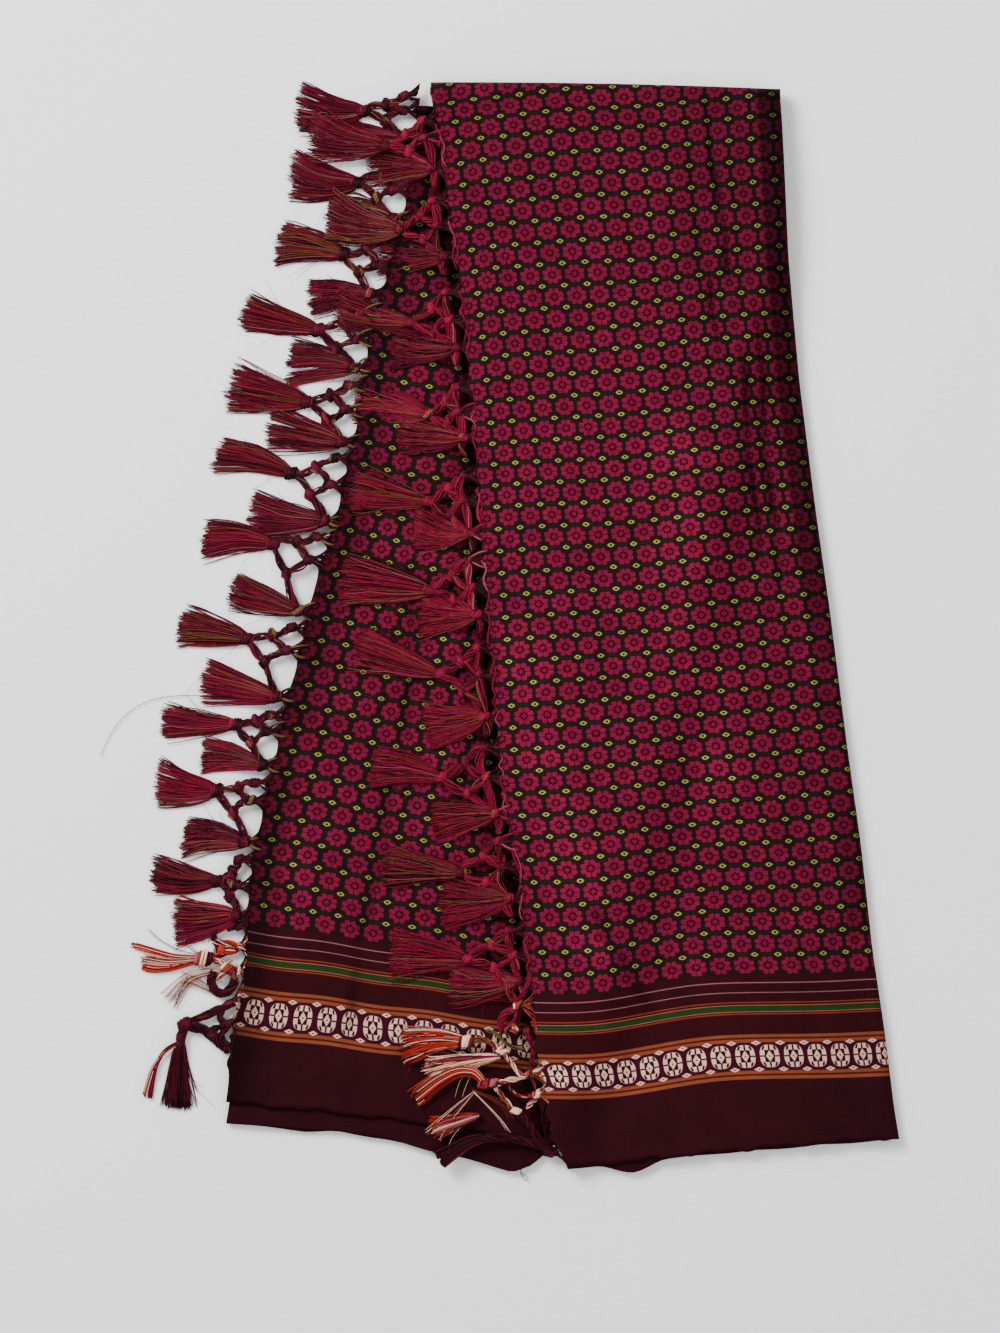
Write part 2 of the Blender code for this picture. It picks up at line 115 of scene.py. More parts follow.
# Sections across each half, from the top down: left x, left y, right x, right y and bow
FRONT = (
    (-39.8, 465.3, 110.2, 459.7, 1.0),
    (-34.7, 444.1, 111.0, 449.2, 0.6),
    (-32.2, 422.5, 111.9, 432.2, 0.0),
    (-25.0, 372.9, 113.8, 390.7, 0.0),
    (-19.9, 321.2, 118.6, 338.6, 0.0),
    (-16.5, 269.1, 125.4, 284.7, 0.0),
    (-12.7, 228.8, 131.4, 242.4, 0.0),
    (-8.5, 169.5, 139.0, 183.0, 0.0),
    (-0.8, 127.1, 144.9, 140.7, 0.5),
    (3.8, 86.4, 149.6, 97.5, 1.0),
    (7.2, 54.2, 154.7, 63.6, 1.2),
    (14.0, 17.8, 158.9, 29.7, 0.8),
    (19.5, 5.1, 161.0, 17.4, 0.6),
)
BACK = (
    (-43.6, 455.5, 106.0, 450.5, 0.0),
    (-44.9, 436.4, 103.4, 430.1, 0.0),
    (-50.8, 402.5, 94.9, 391.9, 0.0),
    (-57.6, 380.1, 88.1, 362.3, 0.0),
    (-63.6, 359.7, 81.8, 336.9, 0.0),
    (-69.1, 322.0, 73.3, 297.5, 0.0),
    (-74.2, 299.2, 67.8, 274.6, 0.0),
    (-80.1, 273.3, 61.9, 248.3, 0.0),
    (-87.7, 251.7, 56.4, 225.4, 0.0),
    (-92.8, 225.4, 50.8, 201.3, 0.0),
    (-97.9, 208.9, 46.6, 183.5, 0.0),
    (-104.7, 176.3, 39.4, 151.7, 0.0),
    (-112.7, 141.5, 31.4, 117.4, 0.0),
    (-116.1, 113.6, 25.4, 91.1, 0.4),
    (-116.9, 92.8, 21.2, 72.0, 0.8),
    (-121.2, 66.1, 15.3, 46.6, 1.2),
    (-125.4, 32.5, 10.5, 15.5, 2.0),
)
# How far the back's hidden folds hang past its end, at shares of its width
BACK_DROP_SHARES = (0.0, 0.25, 0.36, 0.5, 0.65, 0.75, 0.9, 0.96, 1.0)
BACK_DROPS = (9.0, 9.8, 8.4, 9.3, 11.8, 12.8, 15.2, 11.2, 4.9)
# Where the front's lowest layer peeks out at its end, as shares of the width, and how far
PEEK_MIDDLE = 0.2
PEEK_HALF_LENGTH = 0.11
PEEK_DROP = 4.6

# The fringe's repeats, from the top down. The last two of each half are tied one by one, as the tables below
# say
LEFT_UNITS = (
    Unit(455.5, 4.0, 14.0, 22.0, 29.5, 1.0, 28.0, 4.0, "body", "body"),
    Unit(421.6, 8.0, 14.0, 21.0, 29.5, 1.0, 28.0, 1.0, "body", "gold"),
    Unit(389.0, 8.0, 14.0, 20.0, 29.0, 4.0, 27.0, -1.0, "gold", "body"),
    Unit(358.1, 8.0, 14.0, 21.5, 33.0, 8.0, 29.0, 3.0, "body", "body"),
    Unit(328.8, 7.5, 16.5, 22.0, 34.0, 5.0, 33.0, 4.5, "body", "body"),
    Unit(297.0, 8.0, 18.2, 22.0, 32.6, 8.0, 33.0, 4.0, "body", "body"),
    Unit(264.8, 6.5, 24.0, 22.0, 31.0, 2.0, 30.0, 8.0, "body", "body"),
    Unit(226.7, 6.5, 22.6, 22.9, 29.7, 6.0, 33.0, 5.0, "gold", "warm"),
    Unit(191.5, 4.5, 16.2, 18.5, 32.6, 1.0, 27.0, 3.0, "body", "warm"),
    Unit(162.7, 4.5, 20.0, 20.4, 27.0, 2.0, 27.0, 3.0, "warm", "body"),
    Unit(127.1, 8.0, 15.0, 13.0, 29.0, 0.0, 27.0, -1.0, "body", "warm"),
    Unit(93.2, 8.0, 14.0),
    Unit(62.7, 7.0, 13.0),
)
FRONT_UNITS = (
    Unit(444.9, 5.0, 15.0, 22.0, 29.0, 4.0, 28.0, 2.0, "body", "body"),
    Unit(407.6, 8.0, 15.0, 20.0, 29.0, 3.0, 28.0, 2.0, "gold", "body"),
    Unit(367.8, 9.0, 14.0, 21.0, 29.0, 4.0, 27.0, 2.0, "body", "body"),
    Unit(328.4, 8.0, 13.0, 17.8, 28.0, 6.0, 28.0, 3.0, "bright", "warm"),
    Unit(291.1, 8.0, 16.0, 20.3, 30.0, 4.5, 24.0, 3.0, "warm", "bright"),
    Unit(254.2, 9.0, 13.5, 22.9, 34.0, 2.5, 25.0, 2.0, "warm", "bright"),
    Unit(218.2, 8.0, 21.0, 21.6, 32.0, 11.0, 26.0, -4.0, "warm", "bright"),
    Unit(174.6, 9.0, 18.0, 24.0, 27.0, 3.0, 27.0, -2.0, "bright", "warm"),
    Unit(136.4, 8.0, 16.0, 22.0, 30.0, 4.0, 30.0, -3.0, "gold", "bright"),
    Unit(98.3, 8.0, 13.0, 23.7, 30.0, 3.0, 30.0, 1.0, "bright", "warm"),
    Unit(58.5, 8.0, 11.0),
    Unit(30.5, 6.5, 12.5),
)

# Main creases, along points in photo pixels
FRONT_CREASES = (
    Crease(((704, 96), (712, 150), (718, 196), (729, 278)), 3.6, 1.3, 4.0),
    Crease(((709, 276), (713, 300), (719, 352)), 3.2, 1.2, 3.0),
    Crease(((742, 350), (746, 400), (752, 477), (762, 560)), 3.6, 1.3, 3.4),
    Crease(((758, 316), (762, 380), (768, 466), (780, 580)), 3.4, 1.2, 3.4),
    Crease(((690, 150), (694, 210), (700, 262)), 4.0, 0.5, 0.0),
    Crease(((590, 900), (611, 944), (631, 979), (655, 1010)), 9.0, 0.9, 2.0),
    Crease(((520, 640), (560, 820), (600, 960)), 22.0, -0.7, 0.0),
    Crease(((672, 420), (700, 620), (722, 820)), 26.0, -0.6, 0.0),
    Crease(((806, 470), (826, 640), (846, 820)), 14.0, -0.5, 0.0),
)
BACK_CREASES = (
    Crease(((409, 560), (410, 690), (372, 880), (345, 1040)), 6.0, 0.8, 4.0),
    Crease(((300, 720), (300, 860), (282, 1000)), 20.0, -0.5, 0.0),
    Crease(((440, 500), (450, 700), (420, 900)), 20.0, -0.5, 0.0),
)


def mix(a, b, t):
    return a + (b - a) * t


def smooth(t):
    t = np.clip(t, 0.0, 1.0)
    return t * t * (3 - 2 * t)


def normal(vectors):
    """The vectors at length 1."""
    return vectors / (np.linalg.norm(vectors, axis=-1, keepdims=True) + 1e-9)


def read_at(places, steps, table):
    """Each column of the table, read between its steps."""
    return np.stack([np.interp(places, steps, column) for column in table.T], axis=-1)


def place_in_scene(thing):
    bpy.context.scene.collection.objects.link(thing)


def photo_x(x):
    return x * PIXELS_PER_MM + ZERO_X


def photo_y(y):
    return ZERO_Y - y * PIXELS_PER_MM


class Outline:
    """A half's outline, read smoothly from its sections."""

    def __init__(self, sections):
        table = np.array(sections)
        self.top = table[0, 1]
        self.bottom = table[-1, 1]
        steps = np.linspace(self.top, self.bottom, 461)
        order = table[::-1]
        columns = [np.interp(steps, order[:, 1], order[:, k]) for k in range(5)]
        reach = 9
        weights = np.hanning(2 * reach + 3)[1:-1]
        weights /= weights.sum()
        softened = []
        for column in columns:
            before = 2 * column[0] - column[reach:0:-1]
            after = 2 * column[-1] - column[-2 : -reach - 2 : -1]
            padded = np.concatenate([before, column, after])
            softened.append(np.convolve(padded, weights, "valid"))
        self.steps = steps[::-1]
        self.columns = [column[::-1] for column in softened]

    def row(self, y):
        return [np.interp(y, self.steps, column) for column in self.columns]

    def at(self, u, v, right_inset=0.0, top_inset=0.0):
        y = mix(self.top - top_inset, self.bottom, v)
        left_x, left_y, right_x, right_y, bow = self.row(y)
        x = mix(left_x, right_x - right_inset, u)
        return x, mix(left_y, right_y, u) + 4 * bow * u * (1 - u)

    def left(self, y):
        return np.interp(y, self.steps, self.columns[0])


front_outline = Outline(FRONT)
back_outline = Outline(BACK)


def crease_fields(creases, x, y):
    """The height that the creases add, and how far they tuck the cloth in, at each point."""
    px = photo_x(x)
    py = photo_y(y)
    height = np.zeros_like(px)
    tucked = np.zeros_like(px)
    for crease in creases:
        points = np.array(crease.points, float)
        order = np.argsort(points[:, 1])
        line = np.interp(py, points[order, 1], points[order, 0])
        top = points[:, 1].min()
        bottom = points[:, 1].max()
        fade = smooth((py - top) / 30 + 0.5) * smooth((bottom - py) / 30 + 0.5)
        wander = 1.6 * np.sin(py * 0.045 + crease.width) + 0.9 * np.sin(py * 0.13 + 2 * crease.depth)
        across = px - line - wander
        uneven = 0.75 + 0.25 * np.sin(py * 0.06 + crease.tuck)
        height -= crease.depth * fade * uneven * np.exp(-((across / crease.width) ** 2))
        tucked += crease.tuck * fade * uneven * 0.5 * (1 + np.tanh(across / (0.8 * crease.width)))
    return height, tucked


def rolling(x, y, seed):
    """A slow, uneven rise and fall, as in cloth laid by hand."""
    wave = 0.22 * np.sin(x * 0.055 + y * 0.021 + seed)
    wave += 0.16 * np.sin(x * 0.11 - y * 0.034 + 2.3 * seed)
    wave += 0.08 * np.sin(x * 0.23 + y * 0.09 + 0.7 * seed)
    wave += 0.05 * np.sin(x * 0.41 - y * 0.17 + 1.9 * seed)
    return wave


def back_edge_x(y):
    """The back half's right edge, as a straight line."""
    _, _, low_x, low_y, _ = BACK[-1]
    _, _, high_x, high_y, _ = BACK[0]
    return mix(low_x, high_x, np.maximum(0.0, (y - low_y) / (high_y - low_y))) + 1.2


def bridge(x, y, start, length):
    """From 0 where the front half lies on the back half to 1 where it lies on the floor."""
    shift = mix(BRIDGE_END_SHIFT, start, np.clip((y - 10) / 50, 0, 1))
    return smooth((x - back_edge_x(y) - shift) / length)


def front_low(x, y):
    return (BACK_TOP + 1.2) * (1 - bridge(x, y, BRIDGE_START, BRIDGE_LENGTH))


def front_top(x, y):
    return FRONT_FLAT_TOP + (FRONT_RISE + 0.6) * (1 - bridge(x, y, BRIDGE_START - 5, 2.2 * BRIDGE_LENGTH))


# The photo's y where rows of the repeat meet the fringed edge, and those rows, counted up from the border
FRONT_ROW_Y = (72.0, 88.0, 104.0, 123.0, 143.0, 165.0, 316.0, 996.0, 1194.0)
FRONT_ROWS = (43.5, 42.0, 41.0, 40.0, 39.0, 38.0, 31.0, 0.0, -9.0)
BACK_ROW_Y = (44.0, 264.0, 484.0, 704.0, 924.4, 990.0, 1031.0, 1142.0)
BACK_ROWS = (40.0, 30.0, 20.0, 10.0, 0.0, -2.83, -4.51, -9.5)
# How far the front's rows rise at shares of its width, in photo pixels: low down, in the middle and high up,
# and how much less they do near the top
FRONT_SHARES = (0.0, 0.1, 0.18, 0.25, 0.33, 0.41, 0.48, 0.555, 0.635, 0.8, 1.0)
FRONT_RISES = (
    (0.0, 0.3, 1.8, 5.0, 9.3, 13.6, 16.4, 18.0, 18.8, 21.0, 24.0),
    (0.0, 2.7, 4.8, 6.7, 8.9, 11.0, 13.0, 14.8, 16.9, 20.8, 26.0),
    (0.0, 4.0, 7.0, 9.7, 12.7, 15.4, 17.8, 19.6, 21.6, 25.0, 29.0),
    (0.0, 0.0, 0.0, 0.0, 0.0, 0.6, 2.9, 4.7, 5.0, 2.8, -1.2),
)


def soft_rise(u, heights):
    """The table of rises read as a soft curve."""
    return sum(
        weight * np.interp(u + offset, FRONT_SHARES, heights)
        for offset, weight in ((-0.06, 0.12), (-0.03, 0.23), (0.0, 0.3), (0.03, 0.23), (0.06, 0.12))
    )


def front_weave(u, y, tucked=0.0):
    """Which column and row of the repeat each point of the front half shows.

    A row's rise depends on the row, so it is found in three rounds from a first guess.
    """
    py = photo_y(y)
    t = np.interp(py + 26 * u, FRONT_ROW_Y, FRONT_ROWS)
    low, middle, high, dip = (soft_rise(u, heights) for heights in FRONT_RISES)
    edge_dip = 3.2 * (1 - smooth(u / 0.12))
    swell = 1.6 + 3.2 * (1 - smooth((u - 0.02) / 0.32)) + 2.0 * smooth((u - 0.42) / 0.2)
    for _ in range(3):
        rise = mix(low, middle, smooth((t - 0.5) / 8))
        rise = mix(rise, high, smooth((t - 28) / 10))
        rise -= smooth((t - 29) / 5) * dip + smooth((t - 26) / 4) * edge_dip
        rise += smooth((t - 1) / 5) * (1 - smooth((t - 22) / 5)) * swell
        t = np.interp(py + rise, FRONT_ROW_Y, FRONT_ROWS)
    first = np.interp(t, (0, 16, 40), (0.28, 0.27, 0.1))
    last = np.interp(t, (0, 16, 40), (15.1, 15.06, 15.28))
    s = mix(first, last, u) + 0.28 * np.sin(u * 5.2 + 0.4) * u * (1 - u)
    s += 0.05 * np.sin(7 * u + 0.21 * t) + tucked / COLUMN_PIXELS
    return np.stack([s, t + 0.05 * np.sin(9 * u + 0.13 * t)], axis=-1)


def back_weave(x, y, tucked=0.0):
    """The same for the back half."""
    py = photo_y(y)
    across = photo_x(x) - photo_x(back_outline.left(y))
    t = np.interp(py - 0.17 * across, BACK_ROW_Y, BACK_ROWS)
    for _ in range(3):
        slope = np.interp(t, (-8, -5, 0, 6, 30), (0.10, 0.118, 0.15, 0.165, 0.18))
        t = np.interp(py - slope * across, BACK_ROW_Y, BACK_ROWS)
    s = 0.3 + (across + tucked) / BACK_COLUMN_PIXELS + 0.06 * np.sin(0.3 * t + across * 0.02)
    return np.stack([s, t + 0.04 * np.sin(across * 0.06 + 0.2 * t)], axis=-1)


def edge_rises(unit):
    """How far above or below its middle a repeat's three knots at the edge lie."""
    span = unit.first_rise + unit.inner_drop
    return (unit.first_rise, -SECOND_TENT_SHARE * span, -unit.inner_drop)


def knots_of(outline, unit, heights):
    """The places of one repeat's knots: three at the edge, two further out, one at the end."""
    first_z, second_z, third_z = heights

    def out(y, distance, z):
        here = outline.left(y)
        above = outline.left(y + 3)
        length = math.hypot(above - here, 3)
        return np.array([here - 0.9 - 3 * distance / length, y + (above - here) * distance / length, z])

    first = [out(unit.middle_y + rise, FIRST_ROW_OUT, first_z) for rise in edge_rises(unit)]
    second = [
        out(unit.middle_y + rise, SECOND_ROW_SHARE * unit.reach, second_z)
        for rise in (0.5 * unit.first_rise, -0.42 * unit.inner_drop)
    ]
    return first, second, out(unit.middle_y, unit.reach, third_z)


def pulled_edge(units, y, u):
    """How far the knots pull the cloth's edge out into points."""
    pull = np.zeros_like(y)
    for unit in units:
        for rise in edge_rises(unit):
            pull = np.maximum(pull, np.exp(-np.abs(y - unit.middle_y - rise) / 2.6))
    return (2.6 * pull - 0.7) * smooth(1 - u / 0.05)


def make_mesh(name, points, quads, triangles, materials, picks=None, uv=None, shade=None):
    """A mesh from arrays, in millimetres. picks says which material each face takes."""
    mesh = bpy.data.meshes.new(name)
    points = (np.asarray(points, float) + (SHIFT_X, SHIFT_Y, 0.0)) * 0.001
    quads = np.asarray(quads, np.int32).reshape(-1, 4)
    triangles = np.asarray(triangles, np.int32).reshape(-1, 3)
    loops = np.concatenate([quads.ravel(), triangles.ravel()])
    sizes = np.concatenate([np.full(len(quads), 4), np.full(len(triangles), 3)])
    starts = np.concatenate([[0], np.cumsum(sizes)[:-1]])
    mesh.vertices.add(len(points))
    mesh.vertices.foreach_set("co", points.ravel())
    mesh.loops.add(len(loops))
    mesh.loops.foreach_set("vertex_index", loops)
    mesh.polygons.add(len(sizes))
    mesh.polygons.foreach_set("loop_start", starts.astype(np.int32))
    mesh.polygons.foreach_set("use_smooth", np.ones(len(sizes), bool))
    for material in materials:
        mesh.materials.append(material)
    if picks is not None:
        mesh.polygons.foreach_set("material_index", np.asarray(picks, np.int32))
    if uv is not None:
        layer = mesh.uv_layers.new(name="weave")
        layer.data.foreach_set("uv", np.asarray(uv, np.float32)[loops].ravel())
    if shade is not None:
        layer = mesh.attributes.new("shade", "FLOAT", "POINT")
        layer.data.foreach_set("value", np.asarray(shade, np.float32).ravel())
    mesh.update(calc_edges=True)
    mesh.validate()
    piece = bpy.data.objects.new(name, mesh)
    place_in_scene(piece)
    return piece


def grid_quads(rows, columns, start=0):
    """The faces of a grid of points, counted row by row."""
    j, i = np.mgrid[0 : rows - 1, 0 : columns - 1]
    a = start + j * columns + i
    return np.stack([a, a + columns, a + columns + 1, a + 1], axis=-1).reshape(-1, 4)


def rim_indices(rows, columns):
    """The points round the edge of a grid."""
    top = np.arange(columns)
    right = np.arange(1, rows) * columns + columns - 1
    bottom = (rows - 1) * columns + np.arange(columns - 2, -1, -1)
    left = np.arange(rows - 2, 0, -1) * columns
    return np.concatenate([top, right, bottom, left])


def sheet_quads(rows, columns, start=0):
    """The faces of a closed sheet between two grids, the one's points right after the other's."""
    count = rows * columns
    rim = rim_indices(rows, columns) + start
    following = np.roll(rim, -1)
    sides = np.stack([rim, following, following + count, rim + count], axis=-1)
    inner = grid_quads(rows, columns, start + count)[:, ::-1]
    return np.concatenate([grid_quads(rows, columns, start), inner, sides])


def border_picks(uv, quads):
    """The border's material for the faces below the body's first row."""
    return (uv[quads][:, :, 1].mean(axis=1) < BORDER_ROW).astype(int)


def shell_from(name, outer, inner, weave, materials, shade):
    """A thin closed sheet between two grids."""
    points = np.concatenate([outer.reshape(-1, 3), inner.reshape(-1, 3)])
    quads = sheet_quads(*outer.shape[:2])
    uv = np.concatenate([weave.reshape(-1, 2)] * 2)
    shade = np.concatenate([shade.ravel()] * 2)
    return make_mesh(name, points, quads, [], materials, border_picks(uv, quads), uv, shade)


def end_wave(u, v, first, second):
    """The uneven line of a half's lower end: each wave is height, speed and phase."""
    waves = sum(height * np.sin(u * speed + phase) for height, speed, phase in (first, second))
    return smooth((v - 0.985) / 0.015) * waves


def turn_at(share, other):
    """How far the sheet has turned down, and less at the corner where both edges turn."""
    return mix(FOLD_TURN, CORNER_TURN, np.minimum(1.0, 3 * other)) * share


def make_front_cloth(materials):
    """The front half's sheet, turned down at its right side and over the top, and round at their corner."""
    columns = 144
    turned = 10
    lines = 250
    i = np.arange(columns + turned + 1)
    j = np.arange(-turned, lines + 1)
    i, j = np.meshgrid(i, j)
    u = np.minimum(1.0, i / columns)
    v = np.maximum(0.0, j / lines)
    side_share = np.maximum(0, i - columns) / turned
    over_share = np.maximum(0, -j) / turned
    side = turn_at(side_share, over_share)
    over = turn_at(over_share, side_share)
    base_x, base_y = front_outline.at(u, v, SIDE_FOLD, TOP_FOLD)
    height, tucked = crease_fields(FRONT_CREASES, base_x, base_y)
    flat = smooth(i / 6) * smooth((lines - j) / 5)
    top = front_top(base_x, base_y) + (height + rolling(base_x, base_y, 1.0)) * flat
    top -= 1.1 * smooth(1 - v / TOP_EASE) * (1 - over_share)
    low = front_low(base_x, base_y) * (1 - smooth(over_share)) + FLOOR_GAP
    pull = pulled_edge(FRONT_UNITS, base_y, u)
    lower_wave = end_wave(u, v, (0.5, 31, 0), (0.4, 74, 1))
    grids = []
    for inset in (0.0, SHELL):
        half = (top - low) / 2
        z = low + half + (half - inset) * np.cos(np.maximum(side, over))
        x = base_x - pull + (SIDE_FOLD - inset) * np.sin(side)
        y = base_y + (TOP_FOLD - inset) * np.sin(over) + lower_wave
        grids.append(np.stack([x, y, z], axis=-1))
    weave = front_weave(u * (1 - SIDE_FOLD / HALF_WIDTH), base_y, tucked)
    weave[..., 0] += side_share * 7.5 / COLUMN_MM
    weave[..., 1] += over_share * 11.0 / ROW_MM
    # Painted shade: darker in the creases, along the right edge where it rolls down, on the turned-down side,
    # towards the top and towards the right.
    shade = 1 + 0.62 * np.clip(height, -1.2, 0.4)
    painted_edge_shade = mix(0.68, 0.34, smooth((v - 0.42) / 0.18)) * (1 - smooth((v - 0.79) / 0.05))
    shade *= 1 - painted_edge_shade * smooth((u - 0.945) / 0.016) - 0.1 * side_share
    shade *= mix(0.8, 1.0, smooth(v / 0.4)) * mix(1.0, 0.83, smooth((u - 0.5) / 0.4))
    return shell_from("front_cloth", *grids, weave, materials, shade)


def make_back_cloth(materials):
    """The back half's sheet, which runs on under the front half."""
    u, v = np.meshgrid(np.linspace(0, 1, 97), np.linspace(0, 1, 211))
    x, y = back_outline.at(u, v, 1.5)
    height, tucked = crease_fields(BACK_CREASES, x, y)
    flat = smooth(u / 0.05) * smooth((1 - v) / 0.02) * smooth((1 - u) / 0.05)
    z = BACK_TOP + (height + rolling(x, y, 4.0)) * flat - 0.5 * smooth(1 - (1 - u) / 0.03)
    weave = back_weave(x, y, tucked)
    pull = pulled_edge(LEFT_UNITS, y, u)
    y = y + end_wave(u, v, (0.5, 27, 0), (0.3, 61, 2))
    outer = np.stack([x - pull, y, z], axis=-1)
    inner = outer - (0, 0, SHELL)
    # Painted shade: a little darker overall and in the creases, a painted shadow along the front half's fringed
    # edge, and darker along the left edge.
    past_front = x - front_outline.left(y)
    shade = 0.9 + 0.5 * np.clip(height, -0.9, 0.4)
    shade *= 1 - 0.55 * smooth((past_front + 16) / 16) - 0.3 * smooth((past_front + 5) / 5)
    shade *= 1 - 0.64 * smooth(1 - u * HALF_WIDTH / 23)
    return shell_from("back_cloth", outer, inner, weave, materials, shade)


def make_layers(name, x, y, low_z, high_z, weave, materials, seed=1.0):
    """A stack of cloth edges between two heights: each layer's edge is round and ends unevenly."""
    rows, columns = x.shape
    rim = rim_indices(rows, columns)
    edge = np.stack([x, y], axis=-1).reshape(-1, 2)[rim]
    ahead = np.roll(edge, -1, axis=0) - np.roll(edge, 1, axis=0)
    outward = normal(ahead[:, ::-1] * (1, -1))
    outward *= np.sign(np.sum(outward * (edge - edge.mean(axis=0))))
    along = np.cumsum(np.linalg.norm(edge - np.roll(edge, 1, axis=0), axis=1))
    rings = []
    for layer in range(LAYERS):
        uneven = 0.45 * np.sin(along * 0.05 + layer * 2.1 + seed)
        uneven += 0.25 * np.sin(along * 0.17 + layer * 4.3)
        for height, inset in LAYER_EDGE:
            moved = edge - outward * (inset + 0.4 - uneven)[:, None]
            z = mix(low_z.ravel()[rim], high_z.ravel()[rim], (layer + height) / LAYERS)
            rings.append(np.column_stack([moved, z]))
    under, over_all = (np.stack([x, y, z], axis=-1).reshape(-1, 3) for z in (low_z, high_z))
    under[rim] = rings[0]
    over_all[rim] = rings[-1]
    count = rows * columns
    points = np.concatenate([under, over_all, *rings[1:-1]])
    rings_between = range(len(rings) - 2)
    ring_ids = [2 * count + k * len(rim) + np.arange(len(rim)) for k in rings_between]
    ring_ids = [rim, *ring_ids, rim + count]
    quads = [grid_quads(rows, columns)[:, ::-1], grid_quads(rows, columns, count)]
    for lower, upper in zip(ring_ids, ring_ids[1:]):
        quads.append(np.stack([upper, np.roll(upper, -1), np.roll(lower, -1), lower], axis=-1))
    quads = np.concatenate(quads)
    flat_weave = weave.reshape(-1, 2)
    uv = np.concatenate([flat_weave, flat_weave] + [flat_weave[rim] for _ in rings_between])
    # Painted shade: the stacked layers a little darker.
    shade = np.full(len(points), 0.85)
    return make_mesh(name, points, quads, [], materials, border_picks(uv, quads), uv, shade)


def make_front_layers(materials):
    """The front's hidden folds. Its lowest layer peeks out at the lower end."""
    u, v = np.meshgrid(np.linspace(0, 1, LAYER_COLUMNS + 1), np.linspace(0, 1, LAYER_ROWS + 1))
    x, y = front_outline.at(u, v, SIDE_FOLD + 0.8, TOP_FOLD)
    x = x + 0.6 * (1 - u)
    across = smooth(1 - np.abs(u - PEEK_MIDDLE) / PEEK_HALF_LENGTH)
    y = y - (PEEK_DROP * across + 1.0) * smooth((v - 0.95) / 0.05)
    high = front_top(x, y) - SHELL - 1.2
    return make_layers("front_folds", x, y, front_low(x, y), high, front_weave(u, y), materials)


def make_back_layers(materials):
    """The back's hidden folds, which show past its lower end."""
    u, v = np.meshgrid(np.linspace(0, 1, LAYER_COLUMNS + 1), np.linspace(0, 1, LAYER_ROWS + 1))
    x, y = back_outline.at(u, v)
    x = x + 0.5 * (1 - u)
    y = y - np.interp(u, BACK_DROP_SHARES, BACK_DROPS) * smooth((v - 0.88) / 0.12)
    weave = back_weave(x, y)
    weave[..., 1] -= 0.3 * smooth((40 - y) / 10)
    return make_layers("back_folds", x, y, 0 * x, 0 * x + BACK_LAYERS - 0.35, weave, materials, 3.0)


def make_fold_layers(materials):
    """The inner layers where they turn over the top, one inside the other."""
    columns = 80
    points = []
    quads = []
    for inset in INNER_TURNS:
        u = np.linspace(0.002, 0.992, columns + 1)
        base_x, base_y = front_outline.at(u, 0 * u, SIDE_FOLD, TOP_FOLD)
        half = (front_top(base_x, base_y) - 1.1 - FLOOR_GAP) / 2
        turns = np.linspace(-math.pi / 2, math.pi / 2, 15)
        quads.append(sheet_quads(len(turns), columns + 1, len(points) * (columns + 1))[:, ::-1])
        for thick in (0.0, INNER_THICKNESS):
            for turn in turns:
                reach = (TOP_FOLD - inset - thick) * math.cos(turn) + 0.2
                z = FLOOR_GAP + half + (half - inset - thick) * math.sin(turn)
                points.append(np.stack([base_x, base_y + reach, z], axis=-1))
    points = np.concatenate(points)
    uv = np.stack([points[:, 0] / COLUMN_MM, 42 + points[:, 2] / ROW_MM], axis=-1)
    # Painted shade: the layers turned inside the top fold darker.
    shade = np.full(len(points), 0.8)
    return make_mesh("top_folds", points, np.concatenate(quads), [], materials, None, uv, shade)
